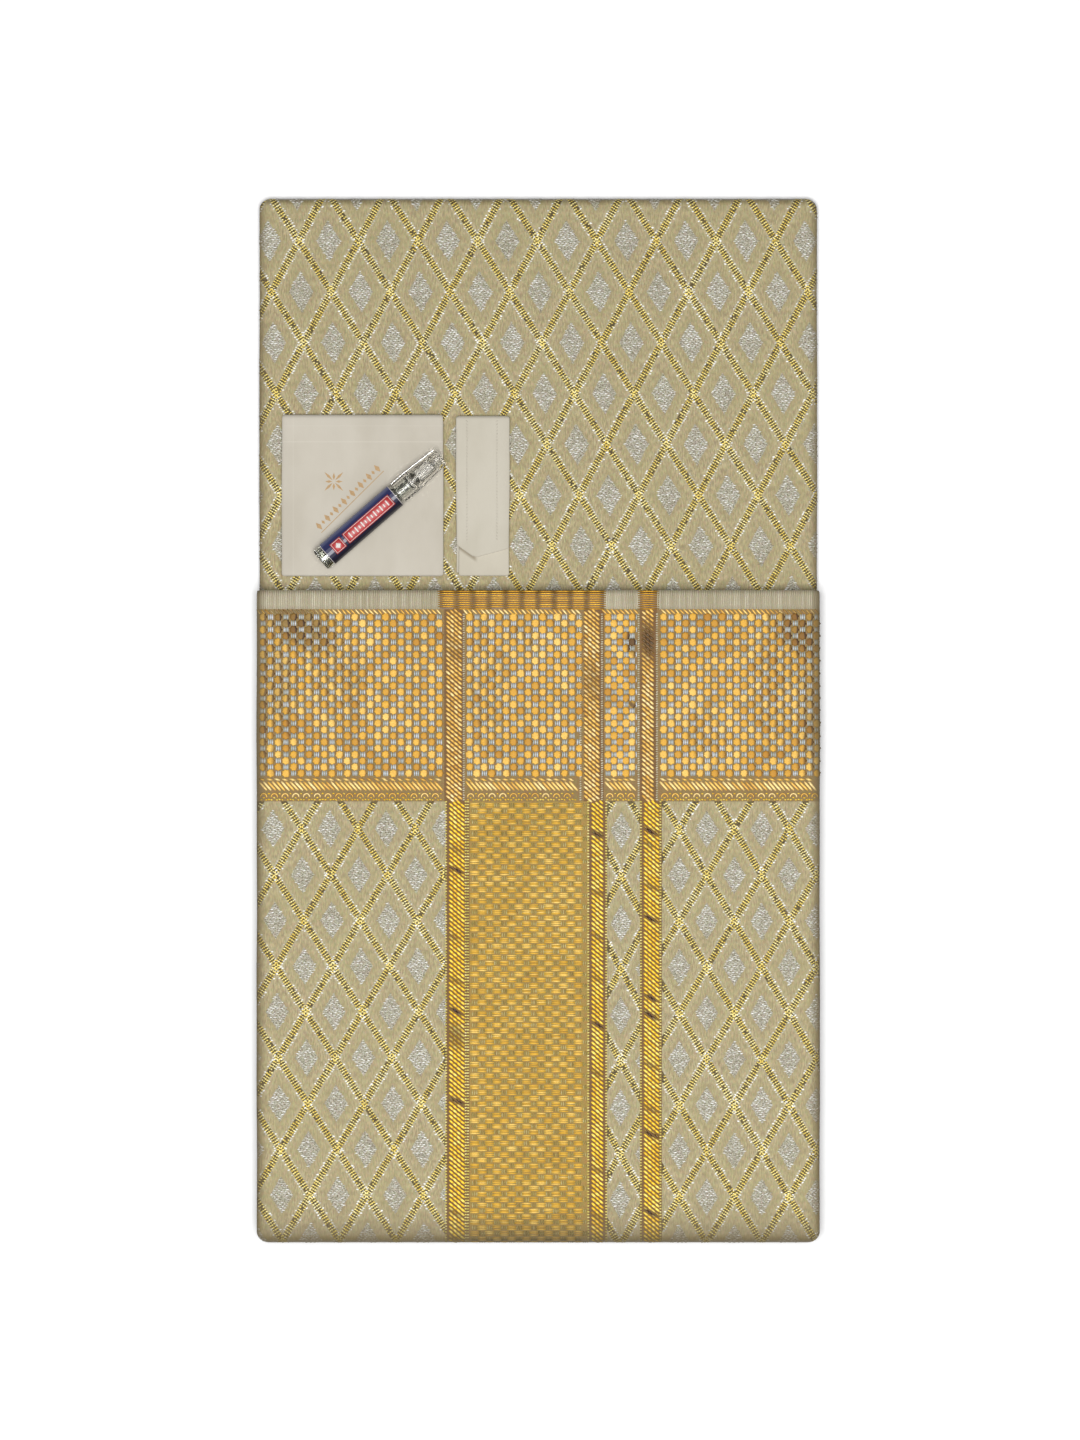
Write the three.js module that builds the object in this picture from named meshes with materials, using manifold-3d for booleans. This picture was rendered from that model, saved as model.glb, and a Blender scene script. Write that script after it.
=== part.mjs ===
// Ceremonial brocade set, folded for presentation.
// A long lattice-brocade cloth is folded round a card, and a second cloth with woven gold borders
// lies folded on its lower part. A kerchief and a sash lie beside each other on the back cloth,
// and a small perfume sprayer lies across the kerchief.
// Millimetres, +Z up. The set lies on its underside at z = 0, its footprint is centred on the origin,
// and +Y runs from the front cloth's fold to the back cloth's far fold.

import * as THREE from 'three';
import { mergeVertices } from 'three/addons/utils/BufferGeometryUtils.js';
import Module from 'manifold-3d';

const wasm = await Module();
wasm.setup();

// Overall layout
const packLength = 594.8;          // front cloth's fold to back cloth's far fold
const restGap = 0.3;               // free height left between pieces that lie on each other

// Back cloth and the card inside it
const backWidth = 318;
const backLowerInset = 2.8;        // back cloth's near edge, hidden behind the front cloth's fold
const backCorner = 5.6;
const backPlyHeight = 3.1;         // plies under the card, and the same again over it
const backEdge = 1.1;              // rounding of the fold edges
const cardThickness = 1.5;
const cardSideInset = 2.4;         // cloth outside the card at both side folds
const cardEndInset = 2.4;
const cardCorner = 4;
const cardEdge = 0.2;

// Front cloth
const frontWidth = 320;
const frontLength = 371;
const frontCorner = 6.8;
const frontStackHeight = 10.8;     // nine folded panels
const frontLeafHeight = 1.2;       // the top panel, four plies of cloth
const frontStackEdge = 1;
const frontLeafEdge = 0.4;
const frontHeaderCorner = 1.2;     // at the leaf's free end

// Kerchief and sash, set out from the back cloth's left side and the front cloth's free edge
const setGap = 8.3;                // front cloth's free edge to kerchief and sash
const kerchiefInset = 12.9;
const kerchiefSide = 92;
const kerchiefHeight = 4.5;
const kerchiefCorner = 2.6;
const kerchiefEdge = 1.2;
const sashApart = 7.5;             // kerchief to sash
const sashWidth = 30;
const sashLength = 91.5;
const sashStackHeight = 3.3;
const sashLeafHeight = 1;
const sashCorner = 1.8;
const sashStackEdge = 0.8;
const sashLeafEdge = 0.3;
const sashStackInset = 1.3;        // lower turns start this far inside the leaf's left edge
const sashTipOverhang = 10.5;      // lower turns that show below the pointed end
const sashTipAcross = 10.4;        // pointed end's tip from the leaf's left edge
const sashTipRiseLeft = 7.3;
const sashTipRiseRight = 5.2;

// Perfume sprayer, turned about its own axis; heights run from the glass base to the cap's tip
const vialAngle = THREE.MathUtils.degToRad(41.05);
const vialAcross = 22.5;           // glass base from the kerchief's left edge
const vialUp = 8.6;                // glass base from the kerchief's near edge
const glassRadius = 6.75;
const glassWall = 1;
const glassFloor = 1.5;
const glassChamfer = 0.8;
const shoulderStart = 56.5;
const shoulderHeight = 1.8;
const neckRadius = 4.6;
const neckWall = 1.2;
const neckLength = 7.7;
const labelStart = 4.8;
const labelEndGap = 0.3;           // bare glass between label and shoulder
const labelThickness = 0.2;
const airSpace = 4;                // perfume stops this far below the pump
const fitGap = 0.3;                // running clearance between the sprayer's pieces
const snugGap = 0.1;               // between pieces that stay pushed together
const wetGap = 0.15;               // perfume to what it wets
const gasketHeight = 0.8;
const gasketGap = 0.2;             // pump body to the gasket's bore
const pumpGap = 0.4;               // pump body to the neck's bore
const pumpBelowNeck = 16;          // pump body hanging inside the glass
const pumpFlangeHeight = 1.3;
const pumpWall = 1.05;
const chamberFloor = 2;
const tubeRadius = 1.2;
const tubeBore = 0.7;
const tubeFootGap = 2.5;           // dip tube's foot above the glass floor
const springWire = 0.22;
const springTurns = 5;
const springLength = 7.4;
const pistonHeight = 2;
const pistonGap = 0.2;
const pistonLip = 0.55;            // piston's edge outside the stem
const collarWeb = 1.3;
const spigotHeight = 3.1;          // collar's ring that the cap pushes on to
const spigotWall = 0.9;
const buttonTravel = 2.2;
const buttonRadius = 3.9;
const buttonHeight = 10.7;
const buttonChamfer = 0.8;
const buttonSideGap = 0.4;         // button to the collar's ring
const stemSeat = 2.2;              // stem's length inside the button
const nozzleRadius = 0.8;
const nozzleDepth = 1.1;
const nozzleDrop = 3.6;            // nozzle's centre below the button's top
const nozzleMouth = 0.35;          // dimple in the nozzle's face
const nozzleHole = 0.2;
const capHeadroom = 5.6;           // free height over the button
const capWall = 1.1;
const capTipGap = 0.45;            // button's side to the cap's narrow end
const capTopWall = 1.2;
const capEdge = 0.6;
const capRimBand = 0.9;            // straight band at the open end

// Places that follow from the sizes above
const nearEdge = -packLength / 2;
const backLength = packLength - backLowerInset;
const cardBase = backPlyHeight + restGap;
const backFaceBase = cardBase + cardThickness + restGap;
const backTop = backFaceBase + backPlyHeight;
const frontBase = backTop + restGap;
const frontLeafBase = frontBase + frontStackHeight + restGap;
const frontFreeEdge = nearEdge + frontLength;
const setNear = frontFreeEdge + setGap;
const setBase = backTop + restGap;
const kerchiefLeft = -backWidth / 2 + kerchiefInset;
const kerchiefTop = setBase + kerchiefHeight;
const sashLeft = kerchiefLeft + kerchiefSide + sashApart;
const sashFar = setNear + sashLength;
const sashLeafBase = setBase + sashStackHeight + restGap;
const labelBore = glassRadius + snugGap;
const labelRadius = labelBore + labelThickness;
const neckStart = shoulderStart + shoulderHeight;
const neckTop = neckStart + neckLength;
const neckBore = neckRadius - neckWall;
const glassBore = glassRadius - glassWall;
const pumpFlangeBase = neckTop + gasketHeight + fitGap;
const pumpFlangeTop = pumpFlangeBase + pumpFlangeHeight;
const pumpRadius = neckBore - pumpGap;
const pumpBase = neckTop - pumpBelowNeck;
const chamberRadius = pumpRadius - pumpWall;
const chamberBase = pumpBase + chamberFloor;
const springBase = chamberBase + fitGap;
const pistonRadius = chamberRadius - pistonGap;
const stemRadius = pistonRadius - pistonLip;
const pistonBase = springBase + springLength + 2 * springWire + snugGap;
const webBase = pumpFlangeTop + fitGap;
const collarTop = webBase + collarWeb;
const collarBore = neckRadius + fitGap;
const buttonBase = collarTop + buttonTravel + fitGap;
const buttonTop = buttonBase + buttonHeight;
const spigotBore = buttonRadius + buttonSideGap;
const spigotRadius = spigotBore + spigotWall;
const capBase = collarTop + fitGap;
const capTop = buttonTop + capHeadroom + capTopWall;
const capBoreRim = spigotRadius + fitGap;
const capBoreTip = buttonRadius + capTipGap;
const capRadius = capBoreRim + capWall;
const vialAxisHeight = kerchiefTop + restGap + Math.max(labelRadius, capRadius);

const finish = (color, roughness, metalness = 0, opacity = 1) => () =>
  new THREE.MeshStandardMaterial({ color, roughness, metalness, opacity, transparent: opacity < 1 });
const brocade = finish(0xbaac85, 0.75);
const bordered = finish(0xbf9c5c, 0.6);
const card = finish(0xb59a70, 0.9);
const kerchiefCloth = finish(0xd5cdb9, 0.7);
const sashCloth = finish(0xd1c9b5, 0.7);
const clearGlass = finish(0xe6ebe8, 0.05, 0, 0.35);
const clearPlastic = finish(0xdedccf, 0.15, 0, 0.45);
const perfume = finish(0xe3d79c, 0.1, 0, 0.6);
const printedFilm = finish(0x141432, 0.3);
const whitePlastic = finish(0xe8e6dd, 0.4);
const rubber = finish(0xc9c6ba, 0.8);
const springSteel = finish(0xb4b6ba, 0.35, 1);

const set = new THREE.Group();
const vial = new THREE.Group();
vial.position.set(kerchiefLeft + vialAcross, setNear + vialUp, vialAxisHeight);
vial.rotation.z = vialAngle - Math.PI / 2;
set.add(vial);

function place(group, name, geometry, material) {
  const mesh = new THREE.Mesh(geometry, material());
  mesh.name = name;
  group.add(mesh);
}

// Folded cloth and card: an outline with its upper and lower edges rounded over.
function slab(name, outline, base, height, edge, material) {
  const geometry = new THREE.ExtrudeGeometry(outline, {
    depth: height - 2 * edge,
    bevelThickness: edge,
    bevelSize: edge,
    bevelOffset: -edge,
    bevelSegments: 2,
    curveSegments: 3,
  });
  geometry.translate(0, 0, base + edge);
  place(set, name, geometry, material);
}

function sheetOutline(left, near, width, length, nearCorner, farCorner = nearCorner) {
  const right = left + width;
  const far = near + length;
  const outline = new THREE.Shape();
  outline.absarc(right - nearCorner, near + nearCorner, nearCorner, -Math.PI / 2, 0);
  outline.absarc(right - farCorner, far - farCorner, farCorner, 0, Math.PI / 2);
  outline.absarc(left + farCorner, far - farCorner, farCorner, Math.PI / 2, Math.PI);
  outline.absarc(left + nearCorner, near + nearCorner, nearCorner, Math.PI, Math.PI * 1.5);
  outline.closePath();
  return outline;
}

function buildBackCloth() {
  const near = nearEdge + backLowerInset;
  const outline = sheetOutline(-backWidth / 2, near, backWidth, backLength, backCorner);
  slab('back_cloth_underside', outline, 0, backPlyHeight, backEdge, brocade);
  slab('back_cloth_face', outline, backFaceBase, backPlyHeight, backEdge, brocade);
  const cardWidth = backWidth - 2 * cardSideInset;
  const cardLength = backLength - 2 * cardEndInset;
  const cardOutline = sheetOutline(-cardWidth / 2, near + cardEndInset, cardWidth, cardLength, cardCorner);
  slab('back_card', cardOutline, cardBase, cardThickness, cardEdge, card);
}

function buildFrontCloth() {
  const outline = sheetOutline(
    -frontWidth / 2, nearEdge, frontWidth, frontLength, frontCorner, frontHeaderCorner);
  slab('front_cloth_stack', outline, frontBase, frontStackHeight, frontStackEdge, bordered);
  slab('front_cloth_leaf', outline, frontLeafBase, frontLeafHeight, frontLeafEdge, bordered);
}

function buildKerchief() {
  const outline = sheetOutline(kerchiefLeft, setNear, kerchiefSide, kerchiefSide, kerchiefCorner);
  slab('kerchief', outline, setBase, kerchiefHeight, kerchiefEdge, kerchiefCloth);
}

// The lower turns are a plain band; the leaf over them ends in a point.
function buildSash() {
  const stackLeft = sashLeft + sashStackInset;
  const stackWidth = sashWidth - sashStackInset;
  const stackOutline = sheetOutline(stackLeft, setNear, stackWidth, sashLength, sashCorner);
  slab('sash_stack', stackOutline, setBase, sashStackHeight, sashStackEdge, sashCloth);

  const right = sashLeft + sashWidth;
  const tip = setNear + sashTipOverhang;
  const leaf = new THREE.Shape();
  leaf.moveTo(sashLeft, tip + sashTipRiseLeft);
  leaf.lineTo(sashLeft + sashTipAcross, tip);
  leaf.lineTo(right, tip + sashTipRiseRight);
  leaf.absarc(right - sashCorner, sashFar - sashCorner, sashCorner, 0, Math.PI / 2);
  leaf.absarc(sashLeft + sashCorner, sashFar - sashCorner, sashCorner, Math.PI / 2, Math.PI);
  leaf.closePath();
  slab('sash_leaf', leaf, sashLeafBase, sashLeafHeight, sashLeafEdge, sashCloth);
}

// A profile is a list of [radius, height] that starts and ends on the axis, or is closed by its
// first point; outer walls run upwards.
function turned(profile, segments = 24) {
  const closed = profile[0][0] > 0 ? [...profile, profile[0]] : profile;
  return new THREE.LatheGeometry(closed.map(([radius, height]) => new THREE.Vector2(radius, height)), segments);
}

const sleeve = (outer, inner, base, top) => [[outer, base], [outer, top], [inner, top], [inner, base]];

function toSolid(geometry) {
  const bare = geometry.clone();
  bare.deleteAttribute('normal');
  bare.deleteAttribute('uv');
  const merged = mergeVertices(bare, 1e-4);
  const corners = [];
  for (let i = 0; i < merged.index.count; i += 3) {
    const face = [merged.index.getX(i), merged.index.getX(i + 1), merged.index.getX(i + 2)];
    if (new Set(face).size === 3) corners.push(...face);
  }
  return new wasm.Manifold(new wasm.Mesh({
    numProp: 3,
    vertProperties: new Float32Array(merged.attributes.position.array),
    triVerts: new Uint32Array(corners),
  }));
}

function fromSolid(solid) {
  const mesh = solid.getMesh();
  const geometry = new THREE.BufferGeometry();
  geometry.setAttribute('position', new THREE.BufferAttribute(mesh.vertProperties, 3));
  geometry.setIndex(new THREE.BufferAttribute(mesh.triVerts, 1));
  return geometry;
}

function buildGlass() {
  place(vial, 'vial_glass', turned([
    [0, 0], [glassRadius - glassChamfer, 0], [glassRadius, glassChamfer],
    [glassRadius, shoulderStart], [neckRadius, neckStart], [neckRadius, neckTop],
    [neckBore, neckTop], [neckBore, neckStart], [glassBore, shoulderStart - 1],
    [glassBore, glassFloor], [0, glassFloor],
  ]), clearGlass);
  place(vial, 'vial_label', turned(
    sleeve(labelRadius, labelBore, labelStart, shoulderStart - labelEndGap)), printedFilm);
  const fillBase = glassFloor + wetGap;
  const fillRadius = glassBore - wetGap;
  const fillTop = pumpBase - airSpace;
  const tubeFoot = glassFloor + tubeFootGap;
  const tubeClear = tubeRadius + wetGap;
  const tubeClearFoot = tubeFoot - wetGap;
  place(vial, 'vial_perfume', turned([
    [0, fillBase], [fillRadius, fillBase], [fillRadius, fillTop],
    [tubeClear, fillTop], [tubeClear, tubeClearFoot], [0, tubeClearFoot],
  ]), perfume);
  place(vial, 'vial_dip_tube', turned(
    sleeve(tubeRadius, tubeBore, tubeFoot, pumpBase - snugGap), 12), clearPlastic);
}

class Coil extends THREE.Curve {
  constructor(radius, turns, length) {
    super();
    Object.assign(this, { radius, turns, length });
  }

  getPoint(t) {
    const angle = 2 * Math.PI * this.turns * t;
    return new THREE.Vector3(this.radius * Math.cos(angle), this.length * t, this.radius * Math.sin(angle));
  }
}

function buildPump() {
  const flangeRadius = neckRadius - snugGap;
  const gasketBore = pumpRadius + gasketGap;
  const gasketBase = neckTop + snugGap;
  place(vial, 'vial_gasket', turned(
    sleeve(flangeRadius, gasketBore, gasketBase, gasketBase + gasketHeight), 16), rubber);
  place(vial, 'vial_pump_body', turned([
    [tubeBore, pumpBase], [pumpRadius, pumpBase], [pumpRadius, pumpFlangeBase],
    [flangeRadius, pumpFlangeBase], [flangeRadius, pumpFlangeTop], [chamberRadius, pumpFlangeTop],
    [chamberRadius, chamberBase], [tubeBore, chamberBase],
  ], 16), whitePlastic);

  const wire = new THREE.Shape();
  wire.absarc(0, 0, springWire, 0, 2 * Math.PI);
  const coilRadius = chamberRadius - 2 * springWire;
  const spring = new THREE.ExtrudeGeometry(wire, {
    extrudePath: new Coil(coilRadius, springTurns, springLength),
    steps: springTurns * 10,
    curveSegments: 3,
  });
  spring.translate(0, springBase + springWire, 0);
  place(vial, 'vial_pump_spring', spring, springSteel);

  const pistonTop = pistonBase + pistonHeight;
  const stemTop = buttonBase + stemSeat;
  place(vial, 'vial_pump_stem', turned([
    [0, pistonBase], [pistonRadius, pistonBase], [pistonRadius, pistonTop],
    [stemRadius, pistonTop], [stemRadius, stemTop], [0, stemTop],
  ], 16), whitePlastic);
}

// The collar grips the neck, holds the pump's flange down and carries the ring that the cap fits.
function buildCollar() {
  place(vial, 'vial_collar', turned([
    [glassRadius, neckStart + fitGap], [glassRadius, collarTop], [spigotRadius, collarTop],
    [spigotRadius, collarTop + spigotHeight], [spigotBore, collarTop + spigotHeight],
    [spigotBore, collarTop], [stemRadius + fitGap, collarTop], [stemRadius + fitGap, webBase],
    [collarBore, webBase], [collarBore, neckStart + fitGap],
  ]), clearPlastic);
}

function buildButton() {
  const seatRadius = stemRadius + snugGap;
  const seatTop = buttonBase + stemSeat + snugGap;
  const body = toSolid(turned([
    [seatRadius, buttonBase], [buttonRadius, buttonBase], [buttonRadius, buttonTop - buttonChamfer],
    [buttonRadius - buttonChamfer, buttonTop], [0, buttonTop], [0, seatTop], [seatRadius, seatTop],
  ]));
  const nozzleHeight = buttonTop - nozzleDrop;
  const recessRadius = nozzleRadius + snugGap;
  const recessFloor = buttonRadius - nozzleDepth - snugGap;
  const recess = new THREE.CylinderGeometry(recessRadius, recessRadius, buttonRadius, 12);
  recess.rotateX(Math.PI / 2);
  recess.translate(0, nozzleHeight, recessFloor + buttonRadius / 2);
  place(vial, 'vial_button', fromSolid(body.subtract(toSolid(recess))), whitePlastic);

  const nozzle = turned([
    [0, 0], [nozzleRadius, 0], [nozzleRadius, nozzleDepth], [nozzleMouth, nozzleDepth],
    [nozzleHole, nozzleDepth / 2], [0, nozzleDepth / 2],
  ], 12);
  nozzle.rotateX(Math.PI / 2);
  nozzle.translate(0, nozzleHeight, buttonRadius - nozzleDepth);
  place(vial, 'vial_nozzle', nozzle, whitePlastic);
}

function buildCap() {
  const tipRadius = capBoreTip + capWall;
  place(vial, 'vial_cap', turned([
    [capRadius, capBase], [capRadius, capBase + capRimBand], [tipRadius, capTop - capEdge],
    [tipRadius - capEdge, capTop], [0, capTop], [0, capTop - capTopWall],
    [capBoreTip, capTop - capTopWall], [capBoreRim, capBase],
  ]), clearPlastic);
}

buildBackCloth();
buildFrontCloth();
buildKerchief();
buildSash();
buildGlass();
buildPump();
buildCollar();
buildButton();
buildCap();

export default set;
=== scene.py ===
import math
import bpy
import numpy as np
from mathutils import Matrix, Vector
from mathutils.bvhtree import BVHTree


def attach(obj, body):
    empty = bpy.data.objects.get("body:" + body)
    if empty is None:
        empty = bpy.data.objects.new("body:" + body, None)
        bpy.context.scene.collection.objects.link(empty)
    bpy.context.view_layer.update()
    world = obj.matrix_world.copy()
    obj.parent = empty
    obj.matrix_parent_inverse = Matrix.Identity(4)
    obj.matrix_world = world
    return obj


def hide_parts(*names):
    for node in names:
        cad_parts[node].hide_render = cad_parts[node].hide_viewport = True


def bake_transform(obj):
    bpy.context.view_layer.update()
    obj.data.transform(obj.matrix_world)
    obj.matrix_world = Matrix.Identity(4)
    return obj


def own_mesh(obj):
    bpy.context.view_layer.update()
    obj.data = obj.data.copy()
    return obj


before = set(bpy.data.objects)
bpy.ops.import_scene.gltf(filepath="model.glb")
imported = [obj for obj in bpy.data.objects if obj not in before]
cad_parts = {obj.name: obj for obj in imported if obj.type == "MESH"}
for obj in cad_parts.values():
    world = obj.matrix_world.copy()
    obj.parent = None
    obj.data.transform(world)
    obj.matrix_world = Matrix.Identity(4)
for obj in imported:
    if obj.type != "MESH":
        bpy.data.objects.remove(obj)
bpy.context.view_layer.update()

scene = bpy.context.scene
mm = 0.001
helpers = []


# camera, floor and light
shot = {
    "viewHeight": 0.8208,   # metres of table in the picture, top to bottom
    "centre": (0.0010, -0.0001),
    "distance": 3.0,
    "sensor": 24.0,
    "focusHeight": 0.010,
}
studio = {
    "keyPower": 60.0, "keySize": 1.15, "keyPlace": (-0.06, -0.22, 2.3),
    "fillPower": 3.0, "fillSize": 1.0, "fillPlace": (0.30, -0.90, 1.30),
    "sky": 0.16,
    "floorSize": 6.0, "floorColour": (0.93, 0.93, 0.93), "floorBounce": (0.34, 0.34, 0.34),
}


def makeCamera():
    data = bpy.data.cameras.new("copyStand")
    data.sensor_fit = "VERTICAL"
    data.sensor_height = shot["sensor"]
    data.lens = shot["sensor"] * shot["distance"] / shot["viewHeight"]
    camera = bpy.data.objects.new("copyStand", data)
    camera.location = (*shot["centre"], shot["distance"] + shot["focusHeight"])
    scene.collection.objects.link(camera)
    scene.camera = camera


def areaLight(name, place, size, power):
    data = bpy.data.lights.new(name, "AREA")
    data.shape = "SQUARE"
    data.size = size
    data.energy = power
    lamp = bpy.data.objects.new(name, data)
    lamp.location = place
    lamp.rotation_euler = (-Vector(place)).to_track_quat("-Z", "Y").to_euler()
    scene.collection.objects.link(lamp)


def makeStudio():
    areaLight("keySoftbox", studio["keyPlace"], studio["keySize"], studio["keyPower"])
    areaLight("fillSoftbox", studio["fillPlace"], studio["fillSize"], studio["fillPower"])
    world = bpy.data.worlds.new("paleRoom")
    world.use_nodes = True
    world.node_tree.nodes["Background"].inputs["Color"].default_value = (1.0, 1.0, 1.0, 1.0)
    world.node_tree.nodes["Background"].inputs["Strength"].default_value = studio["sky"]
    scene.world = world
    scene.view_settings.view_transform = "Standard"
    half = studio["floorSize"] / 2
    corners = [(-half, -half, 0.0), (half, -half, 0.0), (half, half, 0.0), (-half, half, 0.0)]
    mesh = bpy.data.meshes.new("floor")
    mesh.from_pydata(corners, [], [(0, 1, 2, 3)])
    floor = bpy.data.objects.new("floor", mesh)
    scene.collection.objects.link(floor)
    paint = bpy.data.materials.new("floorPaper")
    paint.use_nodes = True
    shader = paint.node_tree.nodes["Principled BSDF"]
    seen = mixColour(paint.node_tree, addNode(paint.node_tree, "ShaderNodeLightPath").outputs["Is Camera Ray"],
                     studio["floorBounce"], studio["floorColour"])
    paint.node_tree.links.new(seen, shader.inputs["Base Color"])
    shader.inputs["Roughness"].default_value = 0.9
    mesh.materials.append(paint)


# node and mesh helpers
def put(tree, socket, value):
    if isinstance(value, bpy.types.NodeSocket):
        tree.links.new(value, socket)
    elif value is not None:
        socket.default_value = value


def addNode(tree, kind, inputs=None, **settings):
    node = tree.nodes.new(kind)
    for key, value in settings.items():
        setattr(node, key, value)
    for key, value in (inputs or {}).items():
        put(tree, node.inputs[key], value)
    return node


def calc(tree, operation, *values):
    node = addNode(tree, "ShaderNodeMath", operation=operation)
    for socket, value in zip(node.inputs, values):
        put(tree, socket, value)
    return node.outputs[0]


def vectorCalc(tree, operation, a, b=None, scale=None):
    node = addNode(tree, "ShaderNodeVectorMath", operation=operation)
    put(tree, node.inputs[0], a)
    put(tree, node.inputs[1], b)
    if scale is not None:
        put(tree, node.inputs["Scale"], scale)
    return node.outputs["Value"] if operation in ("DOT_PRODUCT", "LENGTH") else node.outputs["Vector"]


def mixColour(tree, factor, a, b, blend="MIX"):
    node = addNode(tree, "ShaderNodeMix", data_type="RGBA", blend_type=blend)
    put(tree, node.inputs[0], factor)
    put(tree, node.inputs[6], (*a, 1.0) if isinstance(a, tuple) else a)
    put(tree, node.inputs[7], (*b, 1.0) if isinstance(b, tuple) else b)
    return node.outputs[2]


def split(tree, vector):
    return addNode(tree, "ShaderNodeSeparateXYZ", {0: vector}).outputs


def stepped(tree, value, low, high):
    node = addNode(tree, "ShaderNodeMapRange", interpolation_type="SMOOTHSTEP")
    for socket, entry in zip(node.inputs, (value, low, high, 0.0, 1.0)):
        put(tree, socket, entry)
    return node.outputs[0]


def noise(tree, vector, scale, detail=2.0, roughness=0.5, stretch=(1.0, 1.0, 1.0)):
    place = addNode(tree, "ShaderNodeMapping", {"Vector": vector, "Scale": stretch}).outputs[0]
    return addNode(tree, "ShaderNodeTexNoise", {
        "Vector": place, "Scale": scale, "Detail": detail, "Roughness": roughness}).outputs


def attribute(tree, name):
    return addNode(tree, "ShaderNodeAttribute", attribute_name=name).outputs["Fac"]


def ownPlace(tree):
    return addNode(tree, "ShaderNodeTexCoord").outputs["Object"]


makeCamera()
makeStudio()
print("camera and studio ready")


def colourRamp(tree, value, stops):
    node = addNode(tree, "ShaderNodeValToRGB", {0: value})
    ramp = node.color_ramp
    while len(ramp.elements) < len(stops):
        ramp.elements.new(0.5)
    for element, (place, colour) in zip(ramp.elements, stops):
        element.position = place
        element.color = (*colour, 1.0)
    return node.outputs[0]


def newMaterial(name, roughness=0.6, metallic=0.0, **fixed):
    material = bpy.data.materials.new(name)
    material.use_nodes = True
    tree = material.node_tree
    shader = tree.nodes["Principled BSDF"]
    shader.inputs["Roughness"].default_value = roughness
    shader.inputs["Metallic"].default_value = metallic
    for key, value in fixed.items():
        shader.inputs[key.replace("_", " ")].default_value = value
    return material, tree, shader


def addBump(tree, shader, height, distance, strength=1.0):
    bump = addNode(tree, "ShaderNodeBump", {"Height": height, "Distance": distance, "Strength": strength})
    tree.links.new(bump.outputs[0], shader.inputs["Normal"])


def newGroup(name, kind, inputs, outputs):
    tree = bpy.data.node_groups.new(name, kind)
    for socketKind, label, value in inputs:
        socket = tree.interface.new_socket(label, in_out="INPUT", socket_type="NodeSocket" + socketKind)
        if value is not None:
            socket.default_value = value
    for socketKind, label in outputs:
        tree.interface.new_socket(label, in_out="OUTPUT", socket_type="NodeSocket" + socketKind)
    return tree, tree.nodes.new("NodeGroupInput").outputs, tree.nodes.new("NodeGroupOutput").inputs


def placeGroup(tree, group, inputs):
    return addNode(tree, "ShaderNodeGroup", inputs, node_tree=group).outputs


def meshObject(name, points, faces, uv=None, materials=(), faceSlots=None):
    mesh = bpy.data.meshes.new(name)
    mesh.from_pydata([tuple(p) for p in points], [], [tuple(f) for f in faces])
    if uv is not None:
        corner = np.empty(len(mesh.loops), int)
        mesh.loops.foreach_get("vertex_index", corner)
        mesh.uv_layers.new(name="UVMap").data.foreach_set("uv", np.asarray(uv, float)[corner].ravel())
    for material in materials:
        mesh.materials.append(material)
    if faceSlots is not None:
        mesh.polygons.foreach_set("material_index", np.asarray(faceSlots, int))
    mesh.polygons.foreach_set("use_smooth", [True] * len(mesh.polygons))
    mesh.update()
    piece = bpy.data.objects.new(name, mesh)
    scene.collection.objects.link(piece)
    return piece


def hiddenUnit(name, points, faces):              # a small shape that is laid many times, then removed
    unit = meshObject(name, points, faces)
    unit.hide_render = True
    helpers.append(unit)
    return unit


def settleModifiers(piece):
    view = bpy.context.evaluated_depsgraph_get()
    mesh = bpy.data.meshes.new_from_object(piece.evaluated_get(view), preserve_all_data_layers=True,
                                           depsgraph=view)
    piece.modifiers.clear()
    piece.data = mesh
    mesh.name = piece.name
    return piece


def joined(name, parts):
    merged = parts[0]
    with bpy.context.temp_override(active_object=merged, object=merged, selected_objects=parts,
                                   selected_editable_objects=parts):
        bpy.ops.object.join()
    merged.name = name
    merged.data.name = name
    return merged


def threadPiece(name, parts, body):
    piece = joined(name, parts)
    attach(piece, body)
    print(name, len(piece.data.polygons))
    return piece


# cloth that is folded flat: a section across the cloth, swept along its folds
def pileOf(waves, edgeKeep, grid, **sizes):       # sizes and grid in millimetres
    coarse, fine, reach = grid
    pile = {key: size * mm for key, size in sizes.items()}
    pile["grid"] = {"coarse": coarse * mm, "fine": fine * mm, "reach": reach * mm, "turnSteps": 6}
    return {**pile, "waves": waves, "edgeKeep": edgeKeep}


def stations(start, end, grid, marks):
    low, high = min(start, end), max(start, end)
    reach = min(grid["reach"], (high - low) / 2)
    fine = np.arange(0, reach, grid["fine"])
    count = max(2, round((high - low - 2 * reach) / grid["coarse"]) + 1)
    middle = np.linspace(low + reach, high - reach, count)
    places = np.concatenate([low + fine, high - fine, middle, [m for m in marks if low < m < high]])
    places = np.unique(np.round(places, 6))
    keep = np.concatenate([[True], np.diff(places) > 0.15 * mm])
    keep[-1] = True
    places = places[keep]
    return places if end > start else places[::-1]


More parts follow.
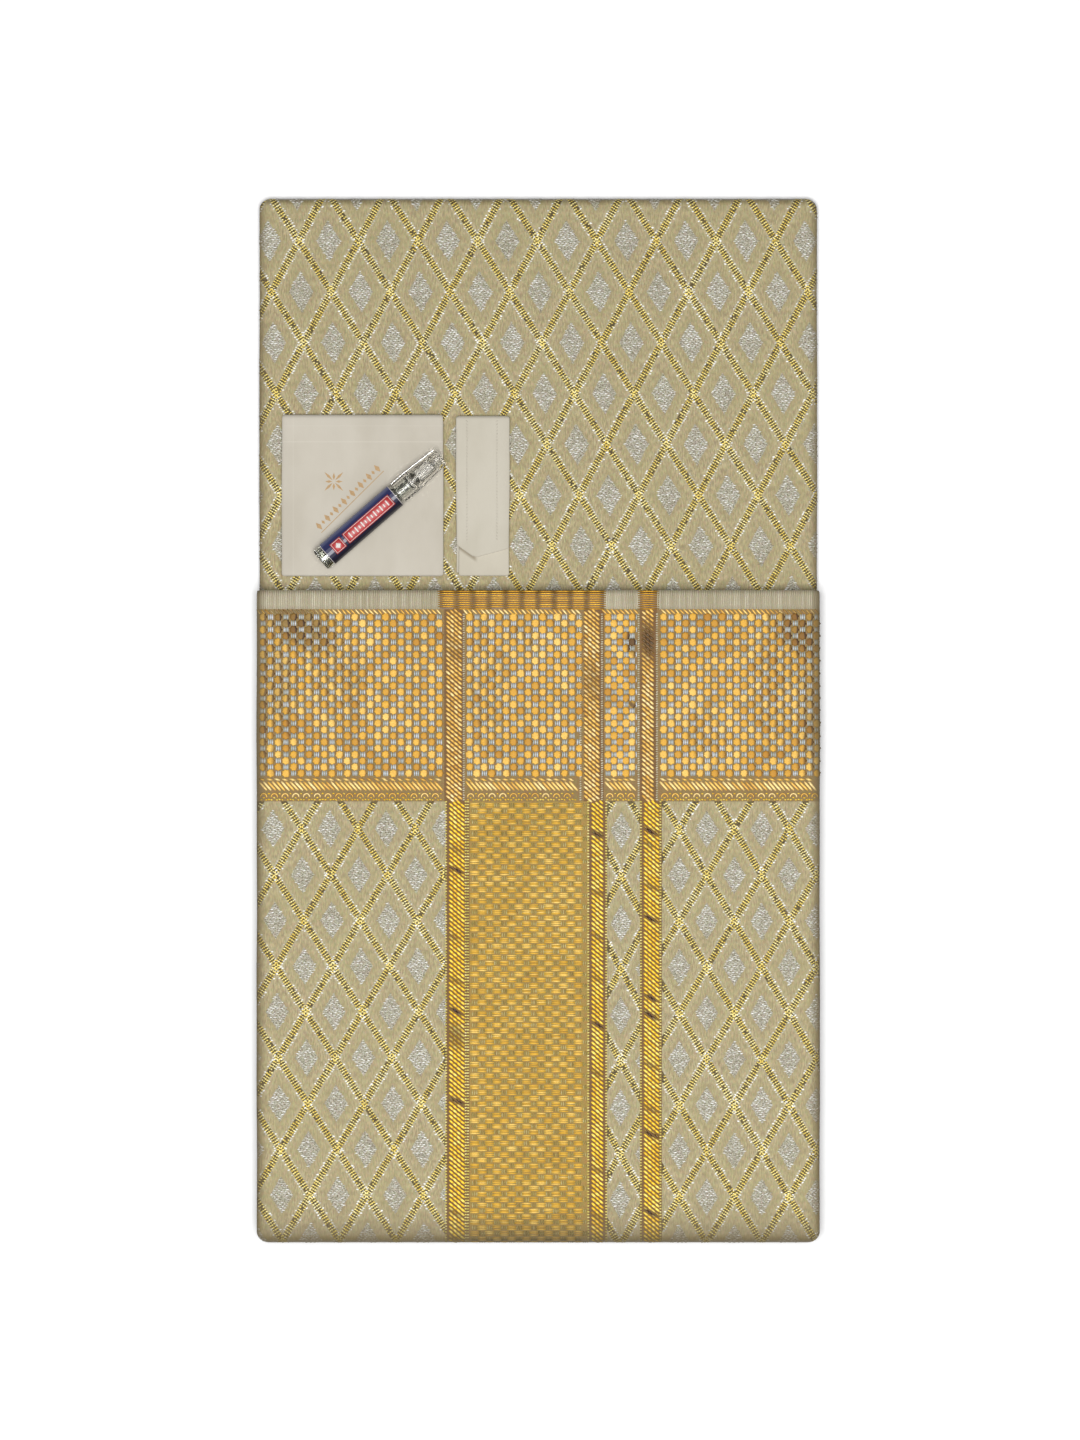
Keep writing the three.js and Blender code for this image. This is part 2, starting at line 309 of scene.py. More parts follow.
def foldPath(start, moves, grid, marks=()):
    place, height = start
    rows, length = [], 0.0
    for leg, move in enumerate(moves):
        if move[0] == "to":
            way = 1.0 if move[1] > place else -1.0
            for p in stations(place, move[1], grid, marks):
                rows.append((p, height, way, 0.0, length + abs(p - place), leg))
            length += abs(move[1] - place)
            place = move[1]
        else:                                     # a half turn to another height, bulging to one side
            height1, side = move[1], move[2]
            radius, up = abs(height1 - height) / 2, (1.0 if height1 > height else -1.0)
            steps = grid["turnSteps"]
            for k in range(1, steps):
                angle = math.pi * k / steps
                rows.append((place + side * radius * math.sin(angle),
                             height + (height1 - height) * (1 - math.cos(angle)) / 2,
                             side * math.cos(angle), up * math.sin(angle), length + radius * angle, leg))
            length += math.pi * radius
            height = height1
    return np.array(rows)


def doubledSection(half, ply, grid, marks=()):    # doubled cloth, both sides folded under to the middle
    gap, bend = 1.0 * mm, half - 1.5 * ply
    moves = [("to", -bend), ("turn", 1.5 * ply, -1), ("to", bend), ("turn", -1.5 * ply, 1), ("to", gap),
             ("turn", -0.5 * ply, -1), ("to", bend), ("turn", 0.5 * ply, 1), ("to", -bend),
             ("turn", -0.5 * ply, -1), ("to", -gap)]
    return foldPath((-gap, -1.5 * ply), moves, grid, marks), 2


def bookMoves(low, high, pitch, base):            # folded in half, then in half again
    turn = 2 * pitch
    moves = [("to", high - turn), ("turn", base + 3.5 * pitch, 1), ("to", low + pitch),
             ("turn", base + 2.5 * pitch, -1), ("to", high - turn), ("turn", base + 1.5 * pitch, 1),
             ("to", low + pitch)]
    return (low, base + 0.5 * pitch), moves


def tubeSection(half, ply, grid):                 # a belt sewn as a flat tube, its seam under the middle
    gap, bend = 0.2 * mm, half - 0.5 * ply
    moves = [("to", -bend), ("turn", 0.5 * ply, -1), ("to", bend), ("turn", -0.5 * ply, 1), ("to", gap)]
    return foldPath((-gap, -0.5 * ply), moves, grid), 2


def sweepPoints(section, path, lift=0.0):
    x = section[:, 0] - section[:, 3] * lift
    off = section[:, 1] + section[:, 2] * lift
    points = np.empty((len(path), len(section), 3))
    points[:, :, 0] = x[None, :]
    points[:, :, 1] = path[:, 0:1] + path[:, 3:4] * off[None, :]
    points[:, :, 2] = path[:, 1:2] - path[:, 2:3] * off[None, :]
    return points


def sweepUv(section, topLeg, path, topPathLeg):
    row = section[section[:, 5] == topLeg][0]
    u = section[:, 4] - row[4] + row[0]
    top = path[path[:, 5] == topPathLeg][0]
    v = top[0] + top[4] - path[:, 4]
    return np.stack(np.broadcast_arrays(u[None, :], v[:, None]), axis=-1)


def gridFaces(rows, columns):
    j, i = np.meshgrid(np.arange(rows - 1), np.arange(columns - 1), indexing="ij")
    a = (j * columns + i).ravel()
    return np.stack([a, a + columns, a + columns + 1, a + 1], axis=1)


def roundPlan(points, pile):                      # rounds the corners of the whole pile in plan
    x, y = points[..., 0] - pile["middle"], points[..., 1]
    for r, edge, way in ((pile["nearCorner"], pile["near"], -1), (pile["farCorner"], pile["far"], 1)):
        dx = (np.abs(x) - (pile["half"] - r)).clip(0, r)
        dy = (way * (y - edge) + r).clip(0, r)
        inside = (dx > 0) & (dy > 0)
        newDx = dx * np.sqrt(1 - (dy / r) ** 2 / 2)
        newDy = dy * np.sqrt(1 - (dx / r) ** 2 / 2)
        x = np.where(inside, np.sign(x) * (np.abs(x) - dx + newDx), x)
        y = np.where(inside, y - way * (dy - newDy), y)
    points[..., 0], points[..., 1] = x + pile["middle"], y


def settleCloth(points, pile):
    x, y, z = points[..., 0] - pile["middle"], points[..., 1], points[..., 2]
    share = ((z - pile["low"]) / (pile["high"] - pile["low"])).clip(0, 1)
    edge = (pile["half"] - np.abs(x)).clip(0, pile["edgeReach"]) / pile["edgeReach"]
    squeeze = pile["edgeKeep"] + (1 - pile["edgeKeep"]) * np.sqrt(1 - (1 - edge) ** 2)
    z = pile["hinge"] + (z - pile["hinge"]) * squeeze
    wave = np.zeros_like(z)
    for k, (kx, ky, phase) in enumerate(pile["waves"]):
        wave += np.sin(kx * x + ky * y + phase) / (1 + 0.4 * k)
    points[..., 2] = z + wave * pile["waveHeight"] * share * edge
    wobble = np.sin(37.0 * y + pile["half"] * 90) + 0.6 * np.sin(91.0 * y + 2.0)
    points[..., 0] += pile["sideWobble"] * wobble * np.sign(x) * (1 - edge)
    roundPlan(points, pile)
    return points


def sweptCloth(pile, section, topLeg, path, topPathLeg, shape, lift=0.0):
    section = section.copy()
    section[:, 0] += pile["middle"]
    points = sweepPoints(section, path, lift)
    uv = sweepUv(section, topLeg, path, topPathLeg)
    if shape:
        shape(points, path)
    settleCloth(points, pile)
    return section, points, uv


def foldedCloth(name, pile, section, topLeg, path, topPathLeg, materials, chooseSlot=None, shape=None):
    section, points, uv = sweptCloth(pile, section, topLeg, path, topPathLeg, shape)
    faces = gridFaces(len(path), len(section))
    flatUv = uv.reshape(-1, 2)
    slots = None
    if chooseSlot:
        onTop = np.broadcast_to(section[:, 5] == topLeg, (len(path), len(section))).ravel()
        middles = flatUv[faces].mean(axis=1)
        slots = [chooseSlot(u, v) if onTop[f].all() else 0 for (u, v), f in zip(middles, faces)]
    piece = meshObject(name, points.reshape(-1, 3), faces, flatUv, materials, slots)
    solid = piece.modifiers.new("clothThickness", "SOLIDIFY")
    solid.thickness = pile["thickness"]
    solid.offset = 0.0
    settleModifiers(piece)
    markFoldShade(piece)
    return piece


def topSheet(name, pile, section, topLeg, path, topPathLeg, lowRow=None, shape=None):
    # the outer ply of the top panel alone, to lay threads on
    section, points, uv = sweptCloth(pile, section, topLeg, path, topPathLeg, shape, pile["thickness"] / 2)
    top = np.flatnonzero(section[:, 5] == topLeg)
    columns = np.arange(max(top[0] - 4, 0), min(top[-1] + 5, len(section)))
    rows = np.flatnonzero(uv[:, 0, 1] > lowRow) if lowRow is not None else np.arange(len(path))
    rows = rows[abs(path[rows, 5] - topPathLeg) <= 1]
    keep = np.ix_(rows, columns)
    faces = gridFaces(len(rows), len(columns))
    sheet = meshObject(name, points[keep].reshape(-1, 3), faces, uv[keep].reshape(-1, 2))
    if sheet.data.polygons[len(faces) // 2].normal.z < 0:
        sheet.data.flip_normals()
    helpers.append(sheet)
    return sheet


# threads, one tree that lays a small unit in rows over a sheet's own flat map
def buildLayTree():
    inputs = [("Geometry", "Geometry", None), ("Object", "Cloth", None), ("Object", "Unit", None)]
    inputs += [("Int", label, 1) for label in ("Columns", "Rows", "Seed")]
    inputs += [("Vector", label, None) for label in ("Origin", "Column Step", "Row Step", "Low", "High",
                                                     "Cell Origin", "Cell S", "Cell T")]
    inputs += [("Float", label, 0.0) for label in ("Turn", "Turn Spread", "Place Spread", "Size Spread")]
    inputs += [("Float", label, 1.0) for label in ("Cell Reach", "Keep")]
    tree, given, out = newGroup("layFloats", "GeometryNodeTree", inputs, [("Geometry", "Geometry")])
    tree.is_modifier = True
    index = addNode(tree, "GeometryNodeInputIndex").outputs[0]
    column = calc(tree, "FLOORED_MODULO", index, given["Columns"])
    row = calc(tree, "FLOOR", calc(tree, "DIVIDE", index, given["Columns"]))
    place = given["Origin"]
    for label, times in (("Column Step", column), ("Row Step", row)):
        place = vectorCalc(tree, "ADD", place, vectorCalc(tree, "SCALE", given[label], scale=times))

    def chance(low, high, shift, kind="FLOAT"):
        node = addNode(tree, "FunctionNodeRandomValue", data_type=kind)
        at = 0 if kind == "FLOAT_VECTOR" else 2
        put(tree, node.inputs[at], low)
        put(tree, node.inputs[at + 1], high)
        put(tree, node.inputs["Seed"], calc(tree, "ADD", given["Seed"], float(shift)))
        return node.outputs[0 if kind == "FLOAT_VECTOR" else 1]

    nudge = chance((-1, -1, 0), (1, 1, 0), 1, "FLOAT_VECTOR")
    place = vectorCalc(tree, "ADD", place, vectorCalc(tree, "SCALE", nudge, scale=given["Place Spread"]))
    points = addNode(tree, "GeometryNodePoints", {
        "Count": calc(tree, "MULTIPLY", given["Columns"], given["Rows"]), "Position": place}).outputs[0]
    here = addNode(tree, "GeometryNodeInputPosition").outputs[0]
    spot, low, high = (split(tree, v) for v in (here, given["Low"], given["High"]))
    outside = calc(tree, "LESS_THAN", spot[0], low[0])
    for a, b, test in ((spot[0], high[0], "GREATER_THAN"), (spot[1], low[1], "LESS_THAN"),
                       (spot[1], high[1], "GREATER_THAN")):
        outside = calc(tree, "MAXIMUM", outside, calc(tree, test, a, b))
    local = vectorCalc(tree, "SUBTRACT", here, given["Cell Origin"])
    for axis in ("Cell S", "Cell T"):              # keeps only what lies in the middle of each lattice cell
        share = calc(tree, "FRACT", vectorCalc(tree, "DOT_PRODUCT", local, given[axis]))
        away = calc(tree, "ABSOLUTE", calc(tree, "SUBTRACT", share, 0.5))
        outside = calc(tree, "MAXIMUM", outside, calc(tree, "GREATER_THAN", away, given["Cell Reach"]))
    outside = calc(tree, "MAXIMUM", outside, calc(tree, "GREATER_THAN", chance(0.0, 1.0, 2), given["Keep"]))
    cloth = addNode(tree, "GeometryNodeObjectInfo", {"Object": given["Cloth"]}).outputs["Geometry"]

    def named(label):
        node = addNode(tree, "GeometryNodeInputNamedAttribute", {"Name": label}, data_type="FLOAT_VECTOR")
        return node.outputs[0]

    flatMap = named("UVMap")

    def sampled(value):
        node = addNode(tree, "GeometryNodeSampleUVSurface", data_type="FLOAT_VECTOR")
        mapSocket = "UV Map" if "UV Map" in node.inputs else "Source UV Map"
        for label, entry in (("Mesh", cloth), ("Value", value), (mapSocket, flatMap), ("Sample UV", here)):
            put(tree, node.inputs[label], entry)
        return node.outputs

    found = sampled(here)
    outside = calc(tree, "MAXIMUM", outside, calc(tree, "SUBTRACT", 1.0, found["Is Valid"]))
    kept = addNode(tree, "GeometryNodeDeleteGeometry", {"Geometry": points, "Selection": outside},
                   domain="POINT").outputs[0]
    normal = sampled(addNode(tree, "GeometryNodeInputNormal").outputs[0])[0]

    def stored(geometry, label, value, kind, domain):
        node = addNode(tree, "GeometryNodeStoreNamedAttribute", {"Geometry": geometry, "Name": label},
                       data_type=kind, domain=domain)
        put(tree, node.inputs["Value"], value)
        return node.outputs[0]

    noted = stored(kept, "upright", normal, "FLOAT_VECTOR", "POINT")
    laid = addNode(tree, "GeometryNodeSetPosition", {"Geometry": noted, "Position": found[0]}).outputs[0]
    angle = calc(tree, "ADD", given["Turn"], calc(tree, "MULTIPLY", chance(-1.0, 1.0, 3), given["Turn Spread"]))
    spin = addNode(tree, "ShaderNodeCombineXYZ", {"Z": angle}).outputs[0]
    aligned = addNode(tree, "FunctionNodeAlignRotationToVector", {"Vector": named("upright")}, axis="Z")
    put(tree, aligned.inputs["Rotation"], addNode(tree, "FunctionNodeEulerToRotation", {0: spin}).outputs[0])
    size = calc(tree, "ADD", 1.0, calc(tree, "MULTIPLY", chance(-1.0, 1.0, 4), given["Size Spread"]))
    unit = addNode(tree, "GeometryNodeObjectInfo", {"Object": given["Unit"]}).outputs["Geometry"]
    copies = addNode(tree, "GeometryNodeInstanceOnPoints", {
        "Points": laid, "Instance": unit, "Rotation": aligned.outputs[0],
        "Scale": addNode(tree, "ShaderNodeCombineXYZ", {"X": size, "Y": size,
                                                        "Z": size}).outputs[0]}).outputs[0]
    shaded = stored(copies, "shade", chance(0.0, 1.0, 5), "FLOAT", "INSTANCE")
    put(tree, out[0], addNode(tree, "GeometryNodeRealizeInstances", {"Geometry": shaded}).outputs[0])
    return tree


layTree = buildLayTree()
layInputs = {s.name: s.identifier for s in layTree.interface.items_tree if s.in_out == "INPUT"}


def layThreads(name, cloth, unit, thread, origin, columnStep, rowStep, low, high, **more):
    carrier = bpy.data.objects.new(name, bpy.data.meshes.new(name))
    scene.collection.objects.link(carrier)
    modifier = carrier.modifiers.new("layFloats", "NODES")
    modifier.node_group = layTree
    span = np.array([columnStep[:2], rowStep[:2]]).T
    corners = np.array([(a, b) for a in (low[0], high[0]) for b in (low[1], high[1])]) - np.array(origin[:2])
    cells = np.linalg.solve(span, corners.T).T
    first, last = np.floor(cells.min(axis=0)) - 1, np.ceil(cells.max(axis=0)) + 1
    begin = np.array(origin[:2]) + span @ first
    values = {
        "Cloth": cloth, "Unit": unit,
        "Columns": int(last[0] - first[0]), "Rows": int(last[1] - first[1]),
        "Origin": (*begin, 0.0), "Column Step": (*columnStep[:2], 0.0), "Row Step": (*rowStep[:2], 0.0),
        "Low": (*low, 0.0), "High": (*high, 0.0)}
    for key, value in more.items():                # turnSpread goes to the socket called Turn Spread
        values["".join(" " + c if c.isupper() else c for c in key).title()] = value
    for key, value in values.items():
        modifier[layInputs[key]] = value
    carrier.update_tag()
    settleModifiers(carrier)
    carrier.data.materials.clear()
    carrier.data.materials.append(thread)
    carrier.data.polygons.foreach_set("material_index", np.zeros(len(carrier.data.polygons), dtype=np.int32))
    if "upright" in carrier.data.attributes:
        carrier.data.attributes.remove(carrier.data.attributes["upright"])
    markFoldShade(carrier)
    return carrier


def threadBar(name, length, width, height, sides=3, rings=3, blunt=0.35):
    # a short float of thread along X, round on top and closed underneath
    points, faces = [], []
    for r in range(rings):
        t = -1 + 2 * r / (rings - 1)
        size = blunt + (1 - blunt) * math.sqrt(max(0.0, 1 - t * t * 0.999))
        for k in range(sides):
            angle = math.pi * k / (sides - 1)
            y = -math.cos(angle) * width / 2 * size
            z = math.sin(angle) * height * (size if abs(t) < 1 else 0.25) - 0.12 * height
            points.append((t * length / 2, y, z))
    for r in range(rings - 1):
        for k in range(sides):
            a, b = r * sides + k, r * sides + (k + 1) % sides
            faces.append((a, a + sides, b + sides, b))
    faces.append(tuple(range(sides)))
    faces.append(tuple(reversed(range((rings - 1) * sides, rings * sides))))
    return hiddenUnit(name, points, faces)


def rosetteDot(name, radius, height, lobes=7):
    # a raised knot of thread: a low dome whose rim is pinched into lobes
    points, faces = [(0, 0, height * 0.86)], []
    rims = ((0.45, 1.0), (0.84, 0.80), (1.0, 0.05))
    count = lobes * 2
    for share, rise in rims:
        for k in range(count):
            pinch = 1.0 if k % 2 == 0 else (1.0 - 0.22 * share)
            angle = 2 * math.pi * k / count
            rises = rise if k % 2 == 0 else rise * 0.70
            points.append((radius * share * pinch * math.cos(angle), radius * share * pinch * math.sin(angle),
                           height * rises))
    for k in range(count):
        faces.append((0, 1 + k, 1 + (k + 1) % count))
    for ring in range(len(rims) - 1):
        base = 1 + ring * count
        for k in range(count):
            n = (k + 1) % count
            faces.append((base + k, base + count + k, base + count + n, base + n))
    last = 1 + (len(rims) - 1) * count
    faces.append(tuple(last + k for k in reversed(range(count))))
    unit = hiddenUnit(name, points, faces)
    writeMark(unit, "side", np.array([p[0] / radius for p in points]))
    return unit


def archUnit(name, radius, width, height, steps=6):
    # a little arch of couched thread, open at its foot
    points, faces = [], []
    for k in range(steps + 1):
        angle = math.pi * (1.12 * k / steps - 0.06)
        way = Vector((math.cos(angle), math.sin(angle), 0))
        for off, rise in ((-width / 2, -0.1 * height), (0, height), (width / 2, -0.1 * height)):
            points.append(tuple(way * (radius + off) + Vector((0, 0, rise))))
    for k in range(steps):
        for s in range(3):
            a, b = 3 * k + s, 3 * k + (s + 1) % 3
            faces.append((a, b, b + 3, a + 3))
    faces.append((2, 1, 0))
    faces.append((3 * steps, 3 * steps + 1, 3 * steps + 2))
    return hiddenUnit(name, points, faces)


# finishes
lattices = {
    "upper": {"origin": (-136.6, 273.1), "across": (34.0, 0.0), "slant": (18.4, -29.0)},
    "left": {"origin": (-129.7, -269.9), "across": (32.2, 0.0), "slant": (16.7, -26.0)},
    "right": {"origin": (95.7, -88.3), "across": (31.2, 0.0), "slant": (15.6, -26.1)},
    "strip": {"origin": (47.1, -89.3), "across": (29.0, 0.0), "slant": (14.4, -26.2)},
}


def buildLatticeGroup():
    inputs = [("Vector", "Map", None)]
    inputs += [("Float", label, None) for label in ("Origin X", "Origin Y", "Across", "Slant X", "Slant Y")]
    outputs = [("Float", label) for label in ("Line", "Fleck", "Diamond", "Ring", "Beside")]
    tree, given, out = newGroup("latticeMasks", "ShaderNodeTree", inputs, outputs)
    spot = split(tree, given["Map"])
    px = calc(tree, "SUBTRACT", spot[0], given["Origin X"])
    py = calc(tree, "SUBTRACT", spot[1], given["Origin Y"])
    slope = calc(tree, "DIVIDE", given["Slant X"], given["Slant Y"])
    along = calc(tree, "SUBTRACT", px, calc(tree, "MULTIPLY", py, slope))
    t = calc(tree, "DIVIDE", calc(tree, "MULTIPLY", along, -1.0), given["Across"])
    rest = calc(tree, "DIVIDE", py, given["Slant Y"])
    s = calc(tree, "SUBTRACT", rest, t)
    away = []
    for share in (s, t):
        part = calc(tree, "FRACT", share)
        away.append(calc(tree, "SUBTRACT", 0.5, calc(tree, "ABSOLUTE", calc(tree, "SUBTRACT", part, 0.5))))
    near = calc(tree, "MULTIPLY", calc(tree, "MINIMUM", away[0], away[1]), given["Across"])
    core = calc(tree, "MINIMUM", away[0], away[1])
    put(tree, out["Line"], calc(tree, "SUBTRACT", 1.0, stepped(tree, near, 1.7 * mm, 2.3 * mm)))
    inner, outer = stepped(tree, near, 1.5 * mm, 2.2 * mm), stepped(tree, near, 2.8 * mm, 3.4 * mm)
    put(tree, out["Fleck"], calc(tree, "SUBTRACT", inner, outer))
    put(tree, out["Beside"], calc(tree, "SUBTRACT", 1.0, stepped(tree, near, 3.0 * mm, 5.2 * mm)))
    put(tree, out["Diamond"], stepped(tree, core, 0.285, 0.305))
    put(tree, out["Ring"], stepped(tree, core, 0.17, 0.27))
    return tree


def buildWeaveGroup():
    # fine warp streaks and weft ribs, with a tint that drifts from thread to thread
    inputs = [("Vector", "Map", None), ("Float", "Warp Pitch", None), ("Float", "Weft Pitch", None)]
    outputs = [("Float", label) for label in ("Streak", "Speck", "Drift", "Height")] + [("Color", "Tint")]
    tree, given, out = newGroup("weaveThreads", "ShaderNodeTree", inputs, outputs)
    flat = given["Map"]
    streak = noise(tree, flat, 60.0, 3.0, 0.6, (22.0, 5.0, 1.0))
    speck = noise(tree, flat, 1100.0, 2.0, 0.7, (1.0, 1.3, 1.0))
    drift = noise(tree, flat, 24.0, 3.0, 0.55)
    put(tree, out["Streak"], stepped(tree, streak[0], 0.34, 0.66))
    put(tree, out["Speck"], stepped(tree, speck[0], 0.35, 0.65))
    put(tree, out["Drift"], stepped(tree, drift[0], 0.3, 0.7))
    tint = noise(tree, flat, 210.0, 2.0, 0.6, (4.6, 2.4, 1.0))
    put(tree, out["Tint"], tint["Color"])
    ribs = []
    for socket, pitch in zip(split(tree, flat), ("Warp Pitch", "Weft Pitch")):
        turns = calc(tree, "DIVIDE", calc(tree, "MULTIPLY", socket, math.pi), given[pitch])
        ribs.append(calc(tree, "ABSOLUTE", calc(tree, "SINE", turns)))
    put(tree, out["Height"], calc(tree, "ADD", ribs[0], calc(tree, "MULTIPLY", ribs[1], 0.7)))
    return tree


latticeGroup = buildLatticeGroup()
weaveGroup = buildWeaveGroup()


# painted shade: colour darkens toward the side folds and the two end folds, where the rounded cloth turns away
# from the light
foldShading = {"strength": 0.90, "colour": (0.135, 0.10, 0.045), "half": 0.160, "side": 0.0058, "end": 0.2974,
            "near": 0.0185, "far": 0.005, "farShare": 0.5}


def readSpots(piece):
    spots = np.empty(len(piece.data.vertices) * 3)
    piece.data.vertices.foreach_get("co", spots)
    return spots.reshape(-1, 3)


def writeMark(piece, name, value):
    layer = piece.data.attributes.get(name) or piece.data.attributes.new(name, "FLOAT", "POINT")
    layer.data.foreach_set("value", value.astype(np.float32))


# writes, per point, how strongly the painted fold shade darkens it
def markFoldShade(piece):
    spots = readSpots(piece)
    ends = []
    for place, edge, reach, share in ((abs(spots[:, 0]), foldShading["half"], foldShading["side"], 1.0),
                                      (-spots[:, 1], foldShading["end"], foldShading["near"], 1.0),
                                      (spots[:, 1], foldShading["end"], foldShading["far"], foldShading["farShare"])):
        ends.append(share * ((place - edge + reach) / reach).clip(0, 1))
    writeMark(piece, "folds", np.maximum.reduce(ends))


# painted shade: mixes a colour toward the fold shade's dark colour
def foldShaded(tree, colour):
    mask = attribute(tree, "folds")
    return mixColour(tree, calc(tree, "MULTIPLY", mask, foldShading["strength"]), colour, foldShading["colour"])


def flatMapOf(tree):
    return addNode(tree, "ShaderNodeUVMap", uv_map="UVMap").outputs[0]


def brocadeMaterial(name, lattice, ground, shades):
    material, tree, shader = newMaterial(name, 0.55, 0.0, Sheen_Weight=0.25, Sheen_Roughness=0.4)
    flat = flatMapOf(tree)
    masks = placeGroup(tree, latticeGroup, {
        "Map": flat, "Origin X": lattice["origin"][0] * mm, "Origin Y": lattice["origin"][1] * mm,
        "Across": lattice["across"][0] * mm, "Slant X": lattice["slant"][0] * mm,
        "Slant Y": lattice["slant"][1] * mm})
    weave = placeGroup(tree, weaveGroup, {
        "Map": flat, "Warp Pitch": 0.55 * mm, "Weft Pitch": 0.62 * mm})
    colour = mixColour(tree, weave["Streak"], shades["groundDark"], ground)
    colour = mixColour(tree, calc(tree, "MULTIPLY", weave["Drift"], 0.35), colour, shades["groundGreen"])
    colour = mixColour(tree, calc(tree, "MULTIPLY", masks["Ring"], 0.35), colour, shades["ring"])
    colour = mixColour(tree, calc(tree, "MULTIPLY", masks["Beside"], 0.22), colour, shades["beside"])
    silver = mixColour(tree, weave["Speck"], shades["silverDark"], shades["silver"])
    colour = mixColour(tree, masks["Diamond"], colour, silver)
    specks = calc(tree, "MULTIPLY", calc(tree, "MULTIPLY", masks["Fleck"], weave["Speck"]), 0.18)
    colour = mixColour(tree, specks, colour, shades["silver"])
    line = mixColour(tree, weave["Speck"], shades["hole"], shades["line"])
    colour = mixColour(tree, masks["Line"], colour, line)
    colour = foldShaded(tree, mixColour(tree, 0.22, colour, weave["Tint"], "OVERLAY"))
    tree.links.new(colour, shader.inputs["Base Color"])
    tree.links.new(calc(tree, "MULTIPLY", masks["Line"], 0.25), shader.inputs["Metallic"])
    height = calc(tree, "ADD", weave["Height"], calc(tree, "MULTIPLY", weave["Speck"], 0.8))
    addBump(tree, shader, height, 0.07 * mm, 0.8)
    return material


def groundMaterial(name, dark, light, pitch, tint=0.25, roughness=0.55, metallic=0.1):
    material, tree, shader = newMaterial(name, roughness, metallic, Sheen_Weight=0.2)
    weave = placeGroup(tree, weaveGroup, {
        "Map": flatMapOf(tree), "Warp Pitch": pitch[0] * mm, "Weft Pitch": pitch[1] * mm})
    ribs = stepped(tree, weave["Height"], 0.4, 1.2)
    colour = mixColour(tree, ribs, dark, light)
    colour = mixColour(tree, calc(tree, "MULTIPLY", weave["Speck"], 0.5), colour, light)
    colour = foldShaded(tree, mixColour(tree, tint, colour, weave["Tint"], "OVERLAY"))
    tree.links.new(colour, shader.inputs["Base Color"])
    addBump(tree, shader, weave["Height"], 0.1 * mm, 0.9)
    return material


def threadMaterial(name, stops, roughness, metallic, sided=False):
    material, tree, shader = newMaterial(name, roughness, metallic, Specular_IOR_Level=0.35)
    shade = attribute(tree, "shade")
    tarnish = attribute(tree, "tarnish")
    where = ownPlace(tree)
    grain = noise(tree, where, 2600.0, 1.0, 0.5, (0.5, 1.0, 1.0))[0]
    patch = noise(tree, where, 30.0, 3.0, 0.6)[0]
    value = calc(tree, "ADD", calc(tree, "MULTIPLY", shade, 0.7),
                 calc(tree, "MULTIPLY", stepped(tree, patch, 0.3, 0.7), 0.3))
    colour = colourRamp(tree, value, stops)
    darker = calc(tree, "MULTIPLY", stepped(tree, grain, 0.4, 0.62), 0.35)
    colour = mixColour(tree, darker, colour, stops[0][1])
    if sided:                                      # tarnish creeps in from one side of each knot, and that same side of every knot gets a painted shade
        away = attribute(tree, "side")
        creep = calc(tree, "MAXIMUM", stepped(tree, away, -0.1, 0.45), stepped(tree, tarnish, 0.5, 1.15))
        tarnish = calc(tree, "MULTIPLY", tarnish, creep)
        sideShade = calc(tree, "MULTIPLY", stepped(tree, away, 0.35, 0.85), 0.75)
        colour = mixColour(tree, sideShade, colour, (0.20, 0.08, 0.02))
    colour = foldShaded(tree, mixColour(tree, tarnish, colour, (0.035, 0.014, 0.007)))
    tree.links.new(colour, shader.inputs["Base Color"])
    tree.links.new(calc(tree, "SUBTRACT", metallic, calc(tree, "MULTIPLY", tarnish, metallic * 0.8)),
                   shader.inputs["Metallic"])
    addBump(tree, shader, grain, 0.05 * mm, 0.6)
    return material


# line and hole colour the ground under the gold stitch rows; their darkness is partly painted shade beneath and
# between the raised stitches
latticeShades = {
    "groundDark": (0.25, 0.20, 0.10), "groundGreen": (0.34, 0.30, 0.13), "ring": (0.29, 0.235, 0.11),
    "beside": (0.43, 0.37, 0.23), "silver": (0.50, 0.47, 0.37), "silverDark": (0.13, 0.11, 0.06),
    "line": (0.17, 0.12, 0.03), "hole": (0.02, 0.013, 0.005)}
khaki = (0.445, 0.372, 0.20)
brocades = {key: brocadeMaterial(key + "Brocade", lattice, khaki, latticeShades)
            for key, lattice in lattices.items()}
headerGrey = groundMaterial("headerGrey", (0.22, 0.19, 0.12), (0.35, 0.305, 0.205), (1.25, 9.0), 0.25)
headerGold = groundMaterial("headerGold", (0.06, 0.025, 0.005), (0.16, 0.08, 0.015), (9.0, 1.25), 0.1, 0.45)
borderGround = groundMaterial("borderGround", (0.04, 0.022, 0.006), (0.29, 0.185, 0.060), (0.6, 0.6), 0.3)
# the band and basket grounds are dark partly in their own colour and partly as painted shade in the gaps
# between and beneath the raised floats
bandGround = groundMaterial("bandGround", (0.05, 0.022, 0.006), (0.20, 0.10, 0.025), (0.6, 0.6), 0.2)
basketGround = groundMaterial("basketGround", (0.08, 0.045, 0.01), (0.40, 0.26, 0.06), (0.55, 0.5), 0.25)
